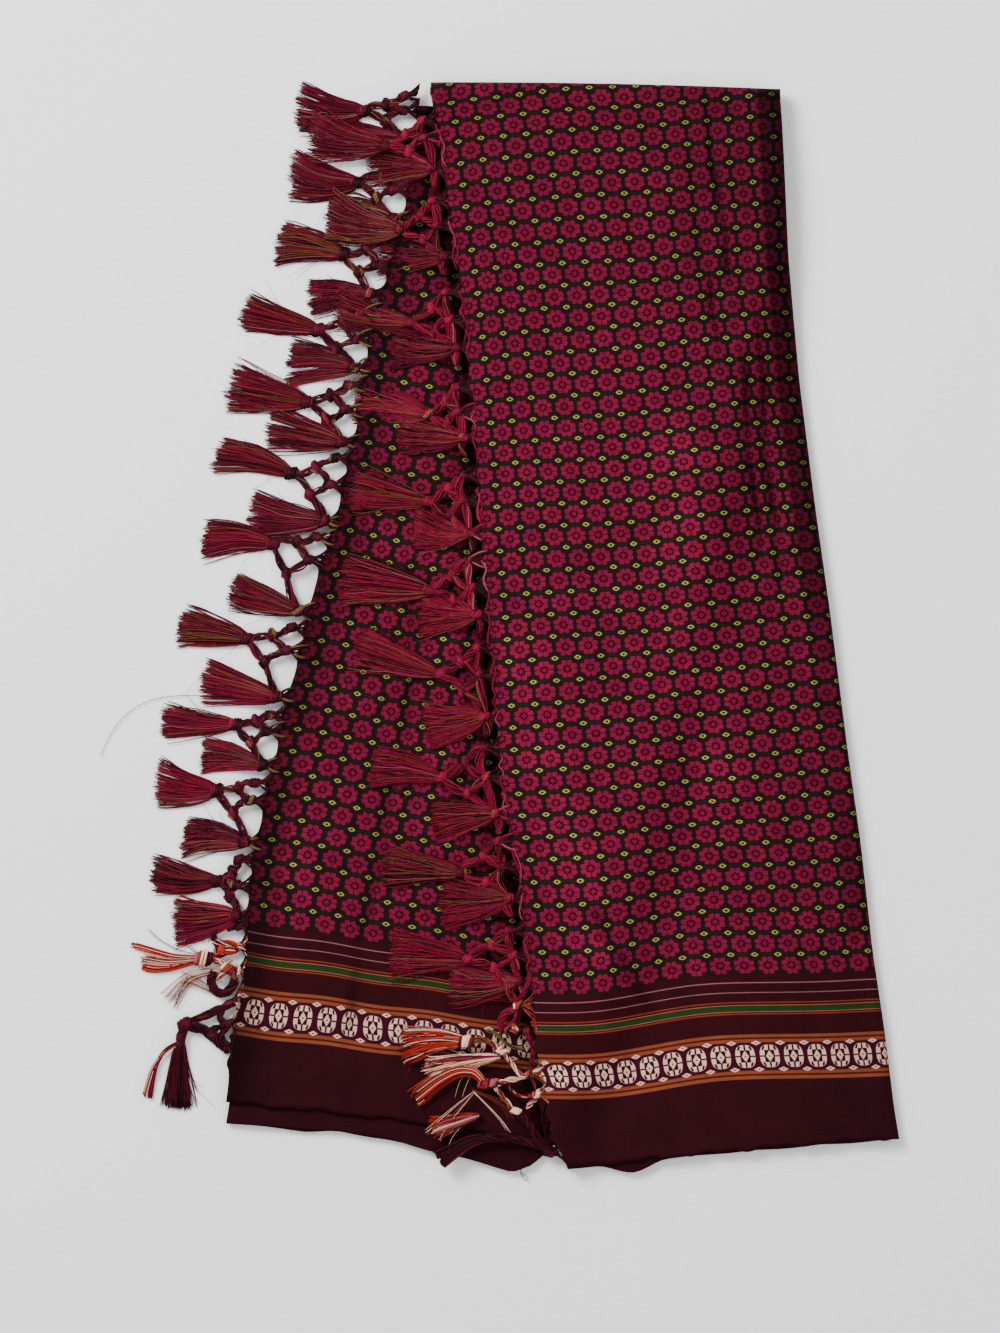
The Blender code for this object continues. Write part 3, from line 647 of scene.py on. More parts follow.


# What is tied one by one near the border, by the repeat's place in its half, from 0. A row is a kind of thing,
# a yarn and numbers, then points as photo x, photo y and height in mm. A tie draws the cloth's edge to a
# knot and has no numbers. A line's are radius, threads, spread and, where it fans out, spread at its end.
# A knot's are the direction of what it is tied on and its size. A tassel's are width, threads and bend,
# and its second point has the floor's height.
LEFT_TIED = {
    8: """
line maroon 0.16 1 0: 262 700 3, 232 697 1.5, 196 695 1, 160 696 0.8, 132 707 0.8, 112 728 0.8, 100 756 0.8
""",
    11: """
tie maroon: 240 926 3.2
tie orange: 239 947 3.4
tie cream: 239 971 3.4
tie orange: 240 996 3.2
line orange 0.26 46 0.9 1.3: 203 958 2.6, 188 958 2.2, 172 957 1.9, 151 951 1.6, 130 945 1.4
line orange 0.26 50 1 1.6: 203 960 2.4, 188 964 1.9, 170 969 1.4, 154 970 1.2, 141 967 1
line cream 0.2 26 0.8 2.6: 203 959 2.6, 186 961 2.2, 165 962 1.8, 140 957 1.4
line olive 0.16 8 0.6 1.6: 200 959 2.6, 178 960 2.2, 150 960 1.5, 138 962 1.2
knot orange 1 0 2.5: 203 959 2.7
line orange 0.34 22 1.7: 206 958 3, 214 957 3, 223 953 3.2, 237 949 3.4
line maroon 0.36 20 1.5: 218 949 3, 214 940 2.8, 213 932 2.6, 221 926 2.6, 232 925 2.8, 240 926 3.2
line orange 0.34 18 1.4: 212 942 3.2, 222 944 3.4, 231 942 3.4, 240 946 3.4
knot maroon 1 0.2 1.5: 232 926 2.9
knot orange 1 0.3 1.6: 219 951 3.2
line cream 0.32 16 1.2: 210 960 3.2, 219 962 3.4, 227 967 3.6, 239 971 3.6
line cream 0.32 14 1.1: 218 982 2.8, 222 975 3.2, 228 968 3.6, 231 960 3.2
line border 0.32 14 1.1: 236 981 3, 231 975 3.4, 225 968 3.8, 220 962 3.4
knot cream 1 -0.6 1.7: 227 969 3.9
line maroon 0.38 24 1.9: 214 972 2.6, 210 979 2.4, 212 989 2.2, 221 996 2.2, 231 990 2.6, 234 980 3
line cream 0.1 34 0.8 5.6: 226 972 2.8, 208 972 2, 188 977 1.3, 176 990 0.9, 166 1003 0.6
line cream 0.1 20 0.4 4.2: 224 998 2.2, 208 990 1.6, 192 982 1.2, 178 980 0.8
line maroon 0.13 2 0.1 0.8: 188 975 1.6, 182 988 1.1, 176 1000 0.8, 172 1011 0.5
line maroon 0.09 5 0.3 2.2: 198 955 2.4, 186 944 1.6, 192 936 1.4, 206 941 1.6
line maroon 0.1 3 0.2 2.6: 196 955 2.2, 176 950 1.2, 158 940 0.8, 146 928 0.5
line near 0.12 1 0: 208 944 2.6, 210 930 1.2, 211 916 0.6
line orange 0.34 14 1.2: 240 996 3.4, 230 1003 3.2, 216 1013 3, 197 1020 2.8, 187 1025 2.6
knot orange 1 0.4 1.3: 239 997 3.4
""",
    12: """
tie maroon: 229 1024 3.2
tie maroon: 228 1049 3.2
line maroon 0.36 22 1.8: 234 1002 3.2, 222 1008 3, 208 1015 2.8, 187 1024 2.6
knot maroon 1 0.4 2: 184 1025 2.7
line maroon 0.38 30 2.3: 186 1025 2.8, 199 1029 2.8, 211 1035 2.8, 221 1045 3, 229 1049 3.2
line maroon 0.36 20 1.6: 206 1033 2.8, 214 1030 3, 222 1026 3.2, 230 1023 3.4
line maroon 0.36 20 1.6: 222 1008 3, 219 1016 3, 223 1024 3.2, 229 1028 3.4
line maroon 0.36 16 1.3: 228 1028 3.2, 221 1034 3, 222 1042 3, 228 1048 3.2
knot maroon 1 -0.6 1.5: 212 1036 3
line maroon 0.36 30 1.9: 186 1027 2.8, 182 1033 2.8, 180 1040 2.8
tassel maroon 11 150 0.3: 180 1040 2.9, 176 1111 0
knot maroon 0.2 1 1.5: 180 1040 2.9
line warm 0.24 26 0.7 1: 178 1043 2.8, 165 1050 2.2, 156 1064 1.8, 152 1082 1.4, 149 1100 1
line orange 0.24 16 0.6 0.9: 178 1044 2.6, 163 1053 2, 151 1070 1.6, 146 1088 1.2, 143 1098 1
line maroon 0.2 3 0.3 1.2: 183 1044 2.4, 186 1062 1.4, 190 1078 1, 195 1094 0.8
""",
}
FRONT_TIED = {
    10: """
tie border: 518 1005 12.2
tie cream: 530 1074 11.6
line bright 0.32 20 1.8: 494 974 9.8, 505 984 10.4, 512 996 11.4, 517 1003 12.2
line bright 0.3 12 1.1: 530 972 12.6, 528 984 12.6, 522 996 12.6, 519 1003 12.4
line bright 0.32 20 1.6: 517 1008 12, 506 1011 10.8, 500 1022 9.8, 503 1034 9.4
line pink 0.3 8 0.8: 518 1008 12, 515 1018 10.8, 508 1026 9.8, 504 1034 9.4
line orange 0.27 6 0.5: 523 1007 12.4, 530 1015 12.6, 535 1022 12.4, 537 1034 12.2
line gold 0.27 6 0.6: 521 1010 12, 520 1018 11, 516 1026 10.4
knot border 0.4 1 1.15: 515 1029 10.2
knot cream 1 0.6 1: 526 1031 11
line bright 0.3 10 1: 527 1033 11.4, 531 1040 11.6, 533 1050 11.6, 531 1066 11.4
line olive 0.25 9 0.8: 486 1030 9.6, 497 1034 9.9, 508 1045 10.2, 524 1050 10.6
tassel orange 13.5 130 0.4: 466 1042 9.6, 399 1047 7.6
line cream 0.2 14 0.4 1.5: 462 1036 9.8, 440 1030 9.2, 420 1030 8.8, 403 1031 8.4
knot border 1 0 2: 466 1042 9.6
line border 0.3 18 1.3: 470 1041 9.8, 483 1039 9.8, 494 1044 10, 502 1051 10.2
tassel cream 7.6 130 0.3: 500 1057 9.9, 424 1071 7.8
knot cream 1 -0.8 1.3: 502 1051 10.4
line cream 0.3 16 1.2: 504 1053 10.6, 511 1063 10.8, 518 1073 11, 527 1076 11.4
line cream 0.3 12 0.9: 531 1073 12, 537 1069 12.3, 544 1066 12.5
line bright 0.28 10 0.8: 531 1076 11.6, 535 1084 11.4, 537 1092 11.2
""",
    11: """
tie cream: 537 1094 11
tie maroon: 553 1153 5.2
line orange 0.26 120 1.5 4.4: 484 1083 10.4, 474 1071 10.2, 456 1071 9.2, 436 1082 8.4, 413 1101 7.6
knot border 1 0 1.7: 484 1084 10.2
knot cream 1 0 1.4: 493 1083 10.4
line cream 0.3 16 1.3: 497 1084 10.6, 506 1081 10.8, 516 1078 11, 528 1075 11.6
line orange 0.3 14 1.1: 506 1083 10.4, 511 1092 10.4, 522 1096 10.6, 535 1095 11
line cream 0.3 14 1.1: 536 1098 10.8, 531 1103 10.2, 527 1109 9.6
line cream 0.3 14 1.1: 496 1087 10, 503 1097 9.6, 512 1109 9.2
knot cream 1 -0.6 1.2: 516 1111 9.4
line cream 0.1 12 0.4 5.2: 474 1092 9.4, 455 1110 8.8, 440 1126 8.2, 430 1138 7.6
line cream 0.12 3 0.2 0.9: 474 1092 9.4, 492 1110 9, 502 1121 8.6, 511 1134 7.8
line border 0.1 8 0.3 2.8: 472 1090 9.4, 492 1098 9, 506 1106 8.6, 516 1122 7.8
tassel orange 8.5 110 0.6: 479 1115 8.6, 430 1129 7.2
line maroon 0.38 34 2: 553 1152 5.6, 541 1146 7.2, 522 1140 8.2, 500 1137 8.4, 480 1139 8.2
line maroon 0.28 110 2 4.4: 484 1138 8.2, 468 1142 8, 452 1152 7.6, 438 1161 7.2
line maroon 0.38 26 1.8: 518 1113 9.2, 528 1122 8.6, 534 1134 8, 548 1148 6
line maroon 0.36 22 1.7: 540 1098 10.4, 545 1110 9.2, 546 1128 8, 553 1146 5.8
knot maroon 1 -0.4 1.6: 548 1152 5.4
line near 0.16 1 0: 521 1168 0.9, 521 1176 0.9, 527 1183 0.9, 529 1179 0.9, 520 1173 0.9
""",
}

# Yarns of the fringe: name, colour as red, green and blue in the photo's scale
YARN_COLOURS = (
    ("crimson", (87, 11, 32)),
    ("bright_crimson", (120, 15, 44)),
    ("maroon", (59, 6, 20)),
    ("near_black", (27, 4, 10)),
    ("rust_orange", (124, 51, 32)),
    ("old_gold", (101, 74, 42)),
    ("cream", (230, 183, 156)),
    ("dusty_pink", (140, 75, 82)),
    ("olive", (82, 77, 38)),
    ("bright_orange", (165, 37, 19)),
)
# Each mixture's percent of those yarns, in their order
YARN_MIXES = {
    "body": (46, 12, 33, 8, 0, 1),
    "gold": (30, 6, 42, 14, 0, 8),
    "warm": (45, 36, 15, 2, 1, 1),
    "bright": (30, 56, 11, 1, 1, 1),
    "dark": (24, 4, 42, 26, 0, 4),
    # The tent mixture is mostly near-black: the dark warp threads, with painted shade at the cloth's edge as
    # well.
    "tent": (6, 0, 34, 60),
    "border": (10, 6, 16, 4, 42, 4, 12, 6),
    "cream": (4, 8, 8, 0, 16, 4, 38, 22),
    "maroon": (6, 0, 58, 36),
    "orange": (6, 10, 20, 4, 10, 0, 9, 6, 0, 35),
    "pale": (0, 12, 0, 0, 40, 28, 0, 20),
    "pink": (10, 75, 0, 0, 0, 0, 0, 15),
    "near": (0, 0, 0, 100),
    "olive": (0, 0, 0, 20, 0, 35, 0, 0, 45),
}


class Yarn:
    """Gathers threads as thin tubes, and makes one mesh of them."""

    def __init__(self, seed):
        self.random = np.random.default_rng(seed)
        self.points = []
        self.quads = []
        self.triangles = []
        self.quad_picks = []
        self.triangle_picks = []
        self.count = 0

    def pick(self, mixture, count):
        weights = np.array(YARN_MIXES[mixture])
        return self.random.choice(len(weights), size=count, p=weights / weights.sum())

    def add(self, paths, radii, colours, sides=3):
        """paths is threads by points by three. radii is threads by points."""
        threads, steps = paths.shape[:2]
        ahead = normal(np.gradient(paths, axis=1))
        across = np.cross(ahead, UP)
        short = np.linalg.norm(across, axis=2, keepdims=True) < 0.05
        across = np.where(short, (1.0, 0.0, 0.0), normal(across))
        upward = np.cross(across, ahead)
        angles = (np.arange(sides) * 2 * math.pi / sides + math.pi / 2)[:, None]
        around = np.cos(angles) * across[:, :, None] + np.sin(angles) * upward[:, :, None]
        rings = paths[:, :, None] + radii[:, :, None, None] * around
        start = self.count
        self.points.append(rings.reshape(-1, 3))
        self.count += threads * steps * sides
        thread, step, side = np.mgrid[0:threads, 0 : steps - 1, 0:sides]
        here = start + (thread * steps + step) * sides
        after = (side + 1) % sides
        quads = np.stack([here + side, here + after, here + sides + after, here + sides + side], axis=-1)
        self.quads.append(quads.reshape(-1, 4))
        self.quad_picks.append(np.repeat(colours, (steps - 1) * sides))
        # A knot's turns have four sides and close on themselves. The other threads have ends.
        if sides == 3:
            ends = start + np.arange(threads) * steps * 3
            self.triangles.append(np.stack([ends + 2, ends + 1, ends], axis=-1))
            tips = ends + (steps - 1) * 3
            self.triangles.append(np.stack([tips, tips + 1, tips + 2], axis=-1))
            self.triangle_picks += [colours, colours]

    def build(self, name, materials):
        quads = np.concatenate(self.quads)
        triangles = np.concatenate(self.triangles)
        picks = np.concatenate(self.quad_picks + self.triangle_picks)
        points = np.concatenate(self.points)
        points[:, 2] = np.maximum(points[:, 2], LOWEST_THREAD)
        return make_mesh(name, points, quads, triangles, materials, picks)


def level_pair(along):
    """A level direction and the one square to it, at length 1."""
    ahead = np.array([along[0], along[1], 0.0]) / math.hypot(along[0], along[1])
    return ahead, np.array([-ahead[1], ahead[0], 0.0])


def add_knot(yarn, centre, along, size, mixture):
    """A small knot: turns of cord round the line it is tied on, and one over them."""
    along, side = level_pair(along)
    turns = np.linspace(0, 2 * math.pi, 9)
    for offset, tilt in ((-0.95, 0.35), (-0.3, 0.5), (0.35, 0.3), (0.95, 0.45), (0.0, 1.5)):
        tilt *= yarn.random.uniform(0.7, 1.3)
        around = size * (1.2 - 0.35 * abs(offset))
        path = (
            centre
            + along * (offset * size * 0.95)
            + np.outer(np.cos(turns), side * around + along * tilt * 0.9)
            + np.outer(np.sin(turns), UP * around * 0.72)
        )
        colours = yarn.pick(mixture, 1)
        for shift in (-0.27, 0.27):
            moved = path + along * shift * size
            yarn.add(moved[None], np.full((1, len(turns)), 0.42 * size), colours, 4)


def add_cord(yarn, start, end, bend, mixture, width):
    """A loose twist of threads between two knots, widest in its middle."""
    steps = 8
    threads = 17
    random = yarn.random
    share = np.linspace(0, 1, steps)
    _, side = level_pair(end - start)
    line = start + np.outer(share, end - start) + np.outer(4 * share * (1 - share) * bend, side)
    turn = random.choice((-1, 1)) * random.uniform(1.6, 3.0)
    strand = random.integers(0, 2, threads)[:, None] * math.pi
    angle = strand + random.normal(0, 0.65, (threads, 1)) + share * turn
    swell = 0.75 + (width - 0.75) * np.sin(math.pi * share) ** 0.8
    reach = swell * np.sqrt(random.uniform(0.1, 1.0, threads))[:, None]
    across = reach * np.cos(angle)
    above = 0.62 * reach * np.sin(angle)
    paths = line + across[:, :, None] * side + above[:, :, None] * UP
    yarn.add(paths, np.full((threads, steps), 0.36), yarn.pick(mixture, threads))


def add_tent(yarn, knot, half, mixture):
    """Threads drawn together from the cloth's edge to a knot."""
    threads = 26
    steps = 5
    spread = yarn.random.uniform(-5.5, 5.5, threads)
    y = knot[1] + spread
    x = half.outline.left(y) + 1.3 - 1.6 * np.exp(-np.abs(spread) / 2.2)
    ends = np.stack([x, y, half.surface(knot) + 0.05 + 0 * y], axis=-1)
    share = np.linspace(0, 1, steps)[:, None]
    gather = (np.sin(math.pi * share) * 0.3)[None]
    start = knot + yarn.random.normal(0, 0.5, (threads, 3))
    paths = start[:, None, :] + share[None] * (ends - start)[:, None, :]
    paths[:, :, 1] += gather[:, :, 0] * (knot[1] - y)[:, None] * 0.5
    paths[:, 1:-1, 2] += 0.25
    radii = np.full((threads, steps), 0.3)
    yarn.add(paths, radii, yarn.pick(mixture, threads))


def add_edge_threads(yarn, unit, half, surface):
    """Thin wavy threads that follow the cloth's edge."""
    random = yarn.random
    for _ in range(4):
        start = unit.middle_y + random.uniform(-unit.inner_drop, unit.first_rise)
        length = random.uniform(7, 15)
        y = start + np.linspace(0, -length, 12)
        x = half.outline.left(y) + random.uniform(-0.6, 1.0)
        x += 0.8 * np.sin(np.linspace(0, random.uniform(4, 9), 12) + random.uniform(0, 6))
        path = np.stack([x, y, np.full(12, surface + 0.35)], axis=-1)
        paths = np.stack([path, path + (0.35, 0.1, 0.0)])
        yarn.add(paths, np.full((2, 12), 0.24), yarn.pick("pink", 2))


def from_photo(px, py, height):
    return np.array([(px - ZERO_X) / PIXELS_PER_MM, (ZERO_Y - py) / PIXELS_PER_MM, height])


def add_line(yarn, mixture, points, radius, threads, spread, end_spread=None):
    """Threads along points of the photo: a twisted cord or, with end_spread, a fan with cut ends."""
    random = yarn.random
    threads = int(threads)
    corners = np.array([from_photo(*point) for point in points])
    steps = 3 * len(corners)
    fine = np.linspace(0, 1, 60)
    places = fine * (len(corners) - 1)
    line = read_at(places, np.arange(len(corners)), corners)
    for _ in range(30):
        line[1:-1] = (line[:-2] + 2 * line[1:-1] + line[2:]) / 4
    across = np.gradient(line, axis=0)
    across = normal(np.stack([-across[:, 1], across[:, 0], 0 * fine], axis=-1))
    share = np.linspace(0, 1, steps)[None] * np.ones((threads, 1))
    phase = random.uniform(0, 2 * math.pi, (threads, 1))
    reach = np.sqrt(random.uniform(0.05, 1.0, (threads, 1)))
    flatness = 1
    if end_spread is None:
        phase = phase + share * len(corners) * 1.6
        reach = reach * spread * np.ones((1, steps))
    else:
        share = share * random.uniform(0.9, 1.0, (threads, 1))
        reach = reach * mix(spread, end_spread, share)
        reach += random.normal(0, 0.35, (threads, 1)) * share**2
        flatness = mix(1.0, 0.45, share)
    paths = read_at(share, fine, line) + (reach * np.cos(phase))[:, :, None] * read_at(share, fine, across)
    paths[:, :, 2] += 0.6 * reach * np.sin(phase) * flatness
    yarn.add(paths, np.full((threads, steps), radius), yarn.pick(mixture, threads))


def tied_rows(rows):
    """The rows of a hand-tied table, each as a kind, a yarn, its numbers and its points."""
    for row in rows.split("\n")[1:-1]:
        head, points = row.split(":")
        kind, mixture, *numbers = head.split()
        points = [[float(number) for number in point.split()] for point in points.split(",")]
        yield kind, mixture, [float(number) for number in numbers], points


def add_tied(yarn, half, kind, mixture, numbers, points):
    start = from_photo(*points[0])
    if kind == "tie":
        add_tent(yarn, start, half, "maroon" if mixture == "maroon" else "border")
        add_knot(yarn, start, (1, 0.3), 1.35, mixture)
    elif kind == "knot":
        add_knot(yarn, start, numbers[:2], numbers[2], mixture)
    elif kind == "line":
        add_line(yarn, mixture, points, *numbers)
    else:
        width, threads, bend = numbers
        *tip, floor = points[1]
        add_tassel(yarn, start, from_photo(*tip, 0.0), width, floor, mixture, bend, int(threads), 0.9)


def add_bright_ends(yarn, knot, half, mixture):
    """Pairs of thread ends that lie in a V from a knot over the cloth's edge."""
    share = np.linspace(0, 1, 6)[:, None]
    for lean in (yarn.random.uniform(0.4, 1), -yarn.random.uniform(0.4, 1)):
        reach = yarn.random.uniform(1.2, 3.2)
        end_x = half.outline.left(knot[1]) + reach
        end = np.array([end_x, knot[1] + 4.2 * lean, half.surface(knot) + 0.4])
        path = knot + share * (end - knot) + 0.8 * UP * np.sin(math.pi * share)
        path[:, 1] += np.sin(math.pi * share[:, 0]) * lean * 0.9
        paths = np.stack([path, path + (0.4, 0.34, 0.05), path + (-0.3, 0.36, 0.0)])
        radii = np.full((3, 6), 0.27) * (0.5 + np.sin(math.pi * np.linspace(0.1, 0.9, 6)))
        yarn.add(paths, radii, yarn.pick(mixture, 3))


def add_tassel(yarn, root, tip, width, floor, mixture, bend=0.0, threads=THREADS, loose=0.5, wild=0.4):
    """A tassel that opens from its knot into a fan of cut threads, gathered in small locks."""
    random = yarn.random
    steps = 8
    share = np.linspace(0, 1, steps)
    length = math.hypot(*(tip - root)[:2])
    ahead, side = level_pair(tip - root)
    locks = 17
    lock_place = np.linspace(-0.93, 0.93, locks) + random.normal(0, 0.05, locks)
    lock = random.integers(0, locks, threads)
    place = lock_place[lock][:, None] + random.normal(0, 0.12, (threads, 1)) * (1 - 0.25 * share)
    opening = 0.22 + 0.78 * share**0.68
    spread = place * opening * width / 2
    wave = random.uniform(0, 2 * math.pi, locks)[lock][:, None]
    speed = random.uniform(2.5, 6.0, locks)[lock][:, None]
    spread += 0.5 * np.sin(wave + share * speed) * share
    own_wave = random.uniform(0, 2 * math.pi, (threads, 1))
    spread += (0.3 + 0.3 * loose) * np.sin(own_wave + share * random.uniform(3, 8, (threads, 1))) * share
    apart = random.uniform(0, 1, (threads, 1)) < 0.08 + 0.12 * loose
    spread += apart * random.normal(0, 1.1, (threads, 1)) * share**1.4
    spread += random.normal(0, 0.4, locks)[lock][:, None] * share**2
    spread += bend * share**2 + random.uniform(-1.7, 1.7) * np.sin(math.pi * share)
    spread += random.normal(0, 1.3 * wild, (threads, 1)) * share**1.3
    spread += 0.5 * wild * np.sin(own_wave * 3 + share * random.uniform(4, 11, (threads, 1))) * share**0.7
    cut = 0.955 + random.normal(0, 0.02, (threads, 1)) + random.normal(0, 0.022, locks)[lock][:, None]
    cut -= 0.035 * place[:, -1:] ** 2
    along = share * length * cut
    depth = random.uniform(0, 1, (threads, 1))
    thick = mix(3.0, 1.5, share**0.6) * (1 - 0.6 * np.abs(place) ** 1.5)
    base = mix(root[2] - 1.3, floor + 0.35, smooth(share * 1.6))
    paths = root + along[:, :, None] * ahead + spread[:, :, None] * side
    paths[:, :, 2] = base + depth * thick
    radii = THREAD_RADIUS * np.ones((threads, steps)) * random.uniform(0.8, 1.15, (threads, 1))
    radii[:, -1] *= 0.6
    lock_colour = yarn.pick(mixture, locks)
    of_body = mixture in ("body", "gold", "warm", "bright")
    if of_body:
        lock_colour = np.minimum(lock_colour, 3) % 3
    colours = np.where(random.uniform(0, 1, threads) < 0.5, lock_colour[lock], yarn.pick(mixture, threads))
    if of_body:
        pale = random.uniform(0, 1, threads) < (0.08 if mixture == "gold" else 0.035) + 0.02 * (wild > 0.5)
        colours = np.where(pale, yarn.pick("pale", threads), colours)
        paths[pale, :, 2] += 0.3 + (1 - depth[pale]) * thick[pale] * 0.8
        astray = random.normal(0, 2.4 * wild, (threads, 1)) * share**1.2
        paths[pale] += astray[pale][:, :, None] * side
        radii[pale] *= mix(0.72, 0.52, wild)
    yarn.add(paths, radii, colours)
    add_strays(yarn, root, ahead, side, length, floor, max(5, int(9 * loose)), mixture)


def add_strays(yarn, root, ahead, side, length, floor, count, mixture):
    """A few thin loose threads that leave the tassel in curls."""
    random = yarn.random
    steps = 11
    share = np.linspace(0, 1, steps)
    lean = random.normal(0, 0.2, (count, 1))
    curl = random.normal(0, 0.32, (count, 1))
    reach = length * random.uniform(0.5, 1.05, (count, 1))
    ripple = random.uniform(0, 6, (count, 1))
    across = reach * (lean * share + curl * share**2.2 + 0.03 * np.sin(ripple + 7 * share) * share)
    along = reach * share * np.cos(lean + curl * share)
    paths = root + along[:, :, None] * ahead + across[:, :, None] * side
    paths[:, :, 2] = mix(root[2], floor + 0.5, smooth(share * 1.3))
    paths[:, :, 2] += random.uniform(0.2, 1.6, (count, 1)) * share
    yarn.add(paths, np.full((count, steps), 0.085), yarn.pick(mixture, count))


def add_net(yarn, half, unit):
    """A repeat of the knotted net and its two tassels."""
    random = yarn.random
    net = half.net_yarn
    bright = net == "bright"
    small = 0.84 if bright else 1.0
    longer = 1.12 if bright else 1.0  # the front's tassels are longer, and their threads cross more
    wild = 1.0 if bright else 0.4
    first, second, third = knots_of(half.outline, unit, half.knot_heights)
    first[-1] = first[-1] + (1.8, -0.6, 0.0)
    second = [knot + (0.0, -1.5, 0.0) for knot in second]
    third = third + (0.0, -2.2, 0.0)
    for knot in first:
        add_tent(yarn, knot, half, "tent")
        for yarn_with_ends, chance, mixture in (("dark", 0.55, "olive"), ("bright", 0.2, "pink")):
            if random.uniform() < chance and net == yarn_with_ends:
                add_bright_ends(yarn, knot, half, mixture)
        add_knot(yarn, knot, (1, random.uniform(-0.4, 0.4)), 1.55 * small, net)
    for knot in second:
        add_knot(yarn, knot, (random.uniform(0.2, 1), 1), 1.65 * small, net)
    add_knot(yarn, third, (1, random.uniform(-0.3, 0.3)), 1.95 * small, unit.outer_yarn if bright else net)
    cords = [(first[0], second[0]), (first[1], second[0]), (first[1], second[1]), (first[2], second[1])]
    cords += [(second[0], third), (second[1], third)]
    for start, end in cords:
        mixture = "gold" if not bright and random.uniform() < 0.3 else net
        add_cord(yarn, start, end, random.uniform(-1.3, 1.3), mixture, 2.1 if bright else 1.9)
    if bright:
        below = first[-1] + (0.5, -8.0, 0.0)
        for start, end in ((first[0], first[1]), (first[1], first[2]), (first[2], below)):
            mixture = random.choice(("bright", "pink", "gold"))
            add_cord(yarn, start, end, random.uniform(-2.4, 1.2), mixture, 2.0)
        add_edge_threads(yarn, unit, half, half.surface(third))

    def hang(root, length, rise, mixture):
        tip = root + (-length, rise, 0.0)
        tip[0] = max(tip[0], LEFTMOST_TIP)
        width = random.uniform(14.5, 21.0)
        add_tassel(yarn, root, tip, width, half.floor(tip), mixture, random.uniform(-2.4, 2.4), wild=wild)

    hang(third, unit.outer_length * longer, unit.outer_rise + 1.6, unit.outer_yarn)
    root = first[-1] + (-0.8, 0.0, 0.9)
    add_knot(yarn, root, (1, random.uniform(-0.3, 0.3)), 1.7 * small, unit.inner_yarn if bright else net)
    hang(root, unit.inner_length, unit.inner_rise, unit.inner_yarn)


def make_fringe(half, materials):
    """One piece for each repeat. Those with ties in the half's table are all tied one by one, as it lists."""
    pieces = []
    for k, unit in enumerate(half.units):
        yarn = Yarn(half.seed + k)
        tied = list(tied_rows(half.tied.get(k, "")))
        if not any(kind == "tie" for kind, *_ in tied):
            add_net(yarn, half, unit)
        for row in tied:
            add_tied(yarn, half, *row)
        piece = yarn.build(f"{half.side}_tassels_{k + 1:02d}", materials)
        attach(piece, "root")
        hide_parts(f"{half.side}_fringe_{k + 1:02d}")
        pieces.append(piece)
    return pieces


def back_surface(point):
    return BACK_TOP + 0.25


def front_surface(point):
    return float(front_top(front_outline.left(point[1]), point[1])) + 0.1


def back_floor(point):
    return 0.0


def front_floor(point):
    on_back = smooth((point[0] - back_outline.left(point[1]) + 6) / 12)
    return float(mix(3.4, BACK_TOP + 0.4, on_back))


# Colours of the cloth's ground and of the border between its stripes
GROUND = (25, 14, 12)
PLAIN_BORDER = (43, 7, 13)


def linear(colour):
    """A colour as the shader takes it, from 0 to 255 values of the photo's kind."""
    values = [value / 255 for value in colour]
    values = [v / 12.92 if v <= 0.04045 else ((v + 0.055) / 1.055) ** 2.4 for v in values]
    return (*values, 1.0)


class Value:
    """A number in a shader, so that a pattern can be written out as sums."""

    def __init__(self, tree, socket):
        self.tree = tree
        self.socket = socket

    def math(self, operation, *others):
        node = self.tree.nodes.new("ShaderNodeMath")
        node.operation = operation
        for slot, value in zip(node.inputs, (self, *others)):
            if isinstance(value, Value):
                self.tree.links.new(value.socket, slot)
            else:
                slot.default_value = value
        return Value(self.tree, node.outputs[0])

    __add__ = partialmethod(math, "ADD")
    __sub__ = partialmethod(math, "SUBTRACT")
    __mul__ = partialmethod(math, "MULTIPLY")
    __truediv__ = partialmethod(math, "DIVIDE")
    power = partialmethod(math, "POWER")
    most = partialmethod(math, "MAXIMUM")
    least = partialmethod(math, "MINIMUM")

    def abs(self):
        return self.math("ABSOLUTE")

    def squared(self):
        return self * self

    def rest(self):
        """What is missing to 1."""
        return self * -1.0 + 1.0

    def repeat(self, offset=0.0):
        """The place within one repeat, from -0.5 to 0.5."""
        return (self + offset).math("FRACT") - 0.5

    def inside(self, limit, soft):
        """1 where the value is under the limit, falling softly to 0."""
        node = self.tree.nodes.new("ShaderNodeMapRange")
        node.interpolation_type = "SMOOTHSTEP"
        self.tree.links.new(self.socket, node.inputs["Value"])
        for slot, value in zip(node.inputs[1:5], (limit - soft, limit + soft, 1.0, 0.0)):
            slot.default_value = value
        return Value(self.tree, node.outputs["Result"])

    def band(self, middle, half, soft=0.35):
        return (self - middle).abs().inside(half, soft)


def over(tree, colour, *layers):
    """Colours laid over one another: each layer is a colour and its share."""
    for layer, share in layers:
        node = tree.nodes.new("ShaderNodeMix")
        node.data_type = "RGBA"
        tree.links.new(share.socket, node.inputs["Factor"])
        for slot, value in ((node.inputs["A"], colour), (node.inputs["B"], layer)):
            if isinstance(value, tuple):
                slot.default_value = linear(value)
            else:
                tree.links.new(value, slot)
        colour = node.outputs["Result"]
    return colour


def noise(tree, uv, scale, detail, across=1.0, along=1.0):
    """Noise over the weave, closer by across in the one direction and by along in the other."""
    stretch = tree.nodes.new("ShaderNodeVectorMath")
    stretch.operation = "MULTIPLY"
    tree.links.new(uv, stretch.inputs[0])
    stretch.inputs[1].default_value = (across, along, 1.0)
    node = tree.nodes.new("ShaderNodeTexNoise")
    node.noise_dimensions = "2D"
    node.inputs["Scale"].default_value = scale
    node.inputs["Detail"].default_value = detail
    tree.links.new(stretch.outputs["Vector"], node.inputs["Vector"])
    return Value(tree, node.outputs["Fac"])


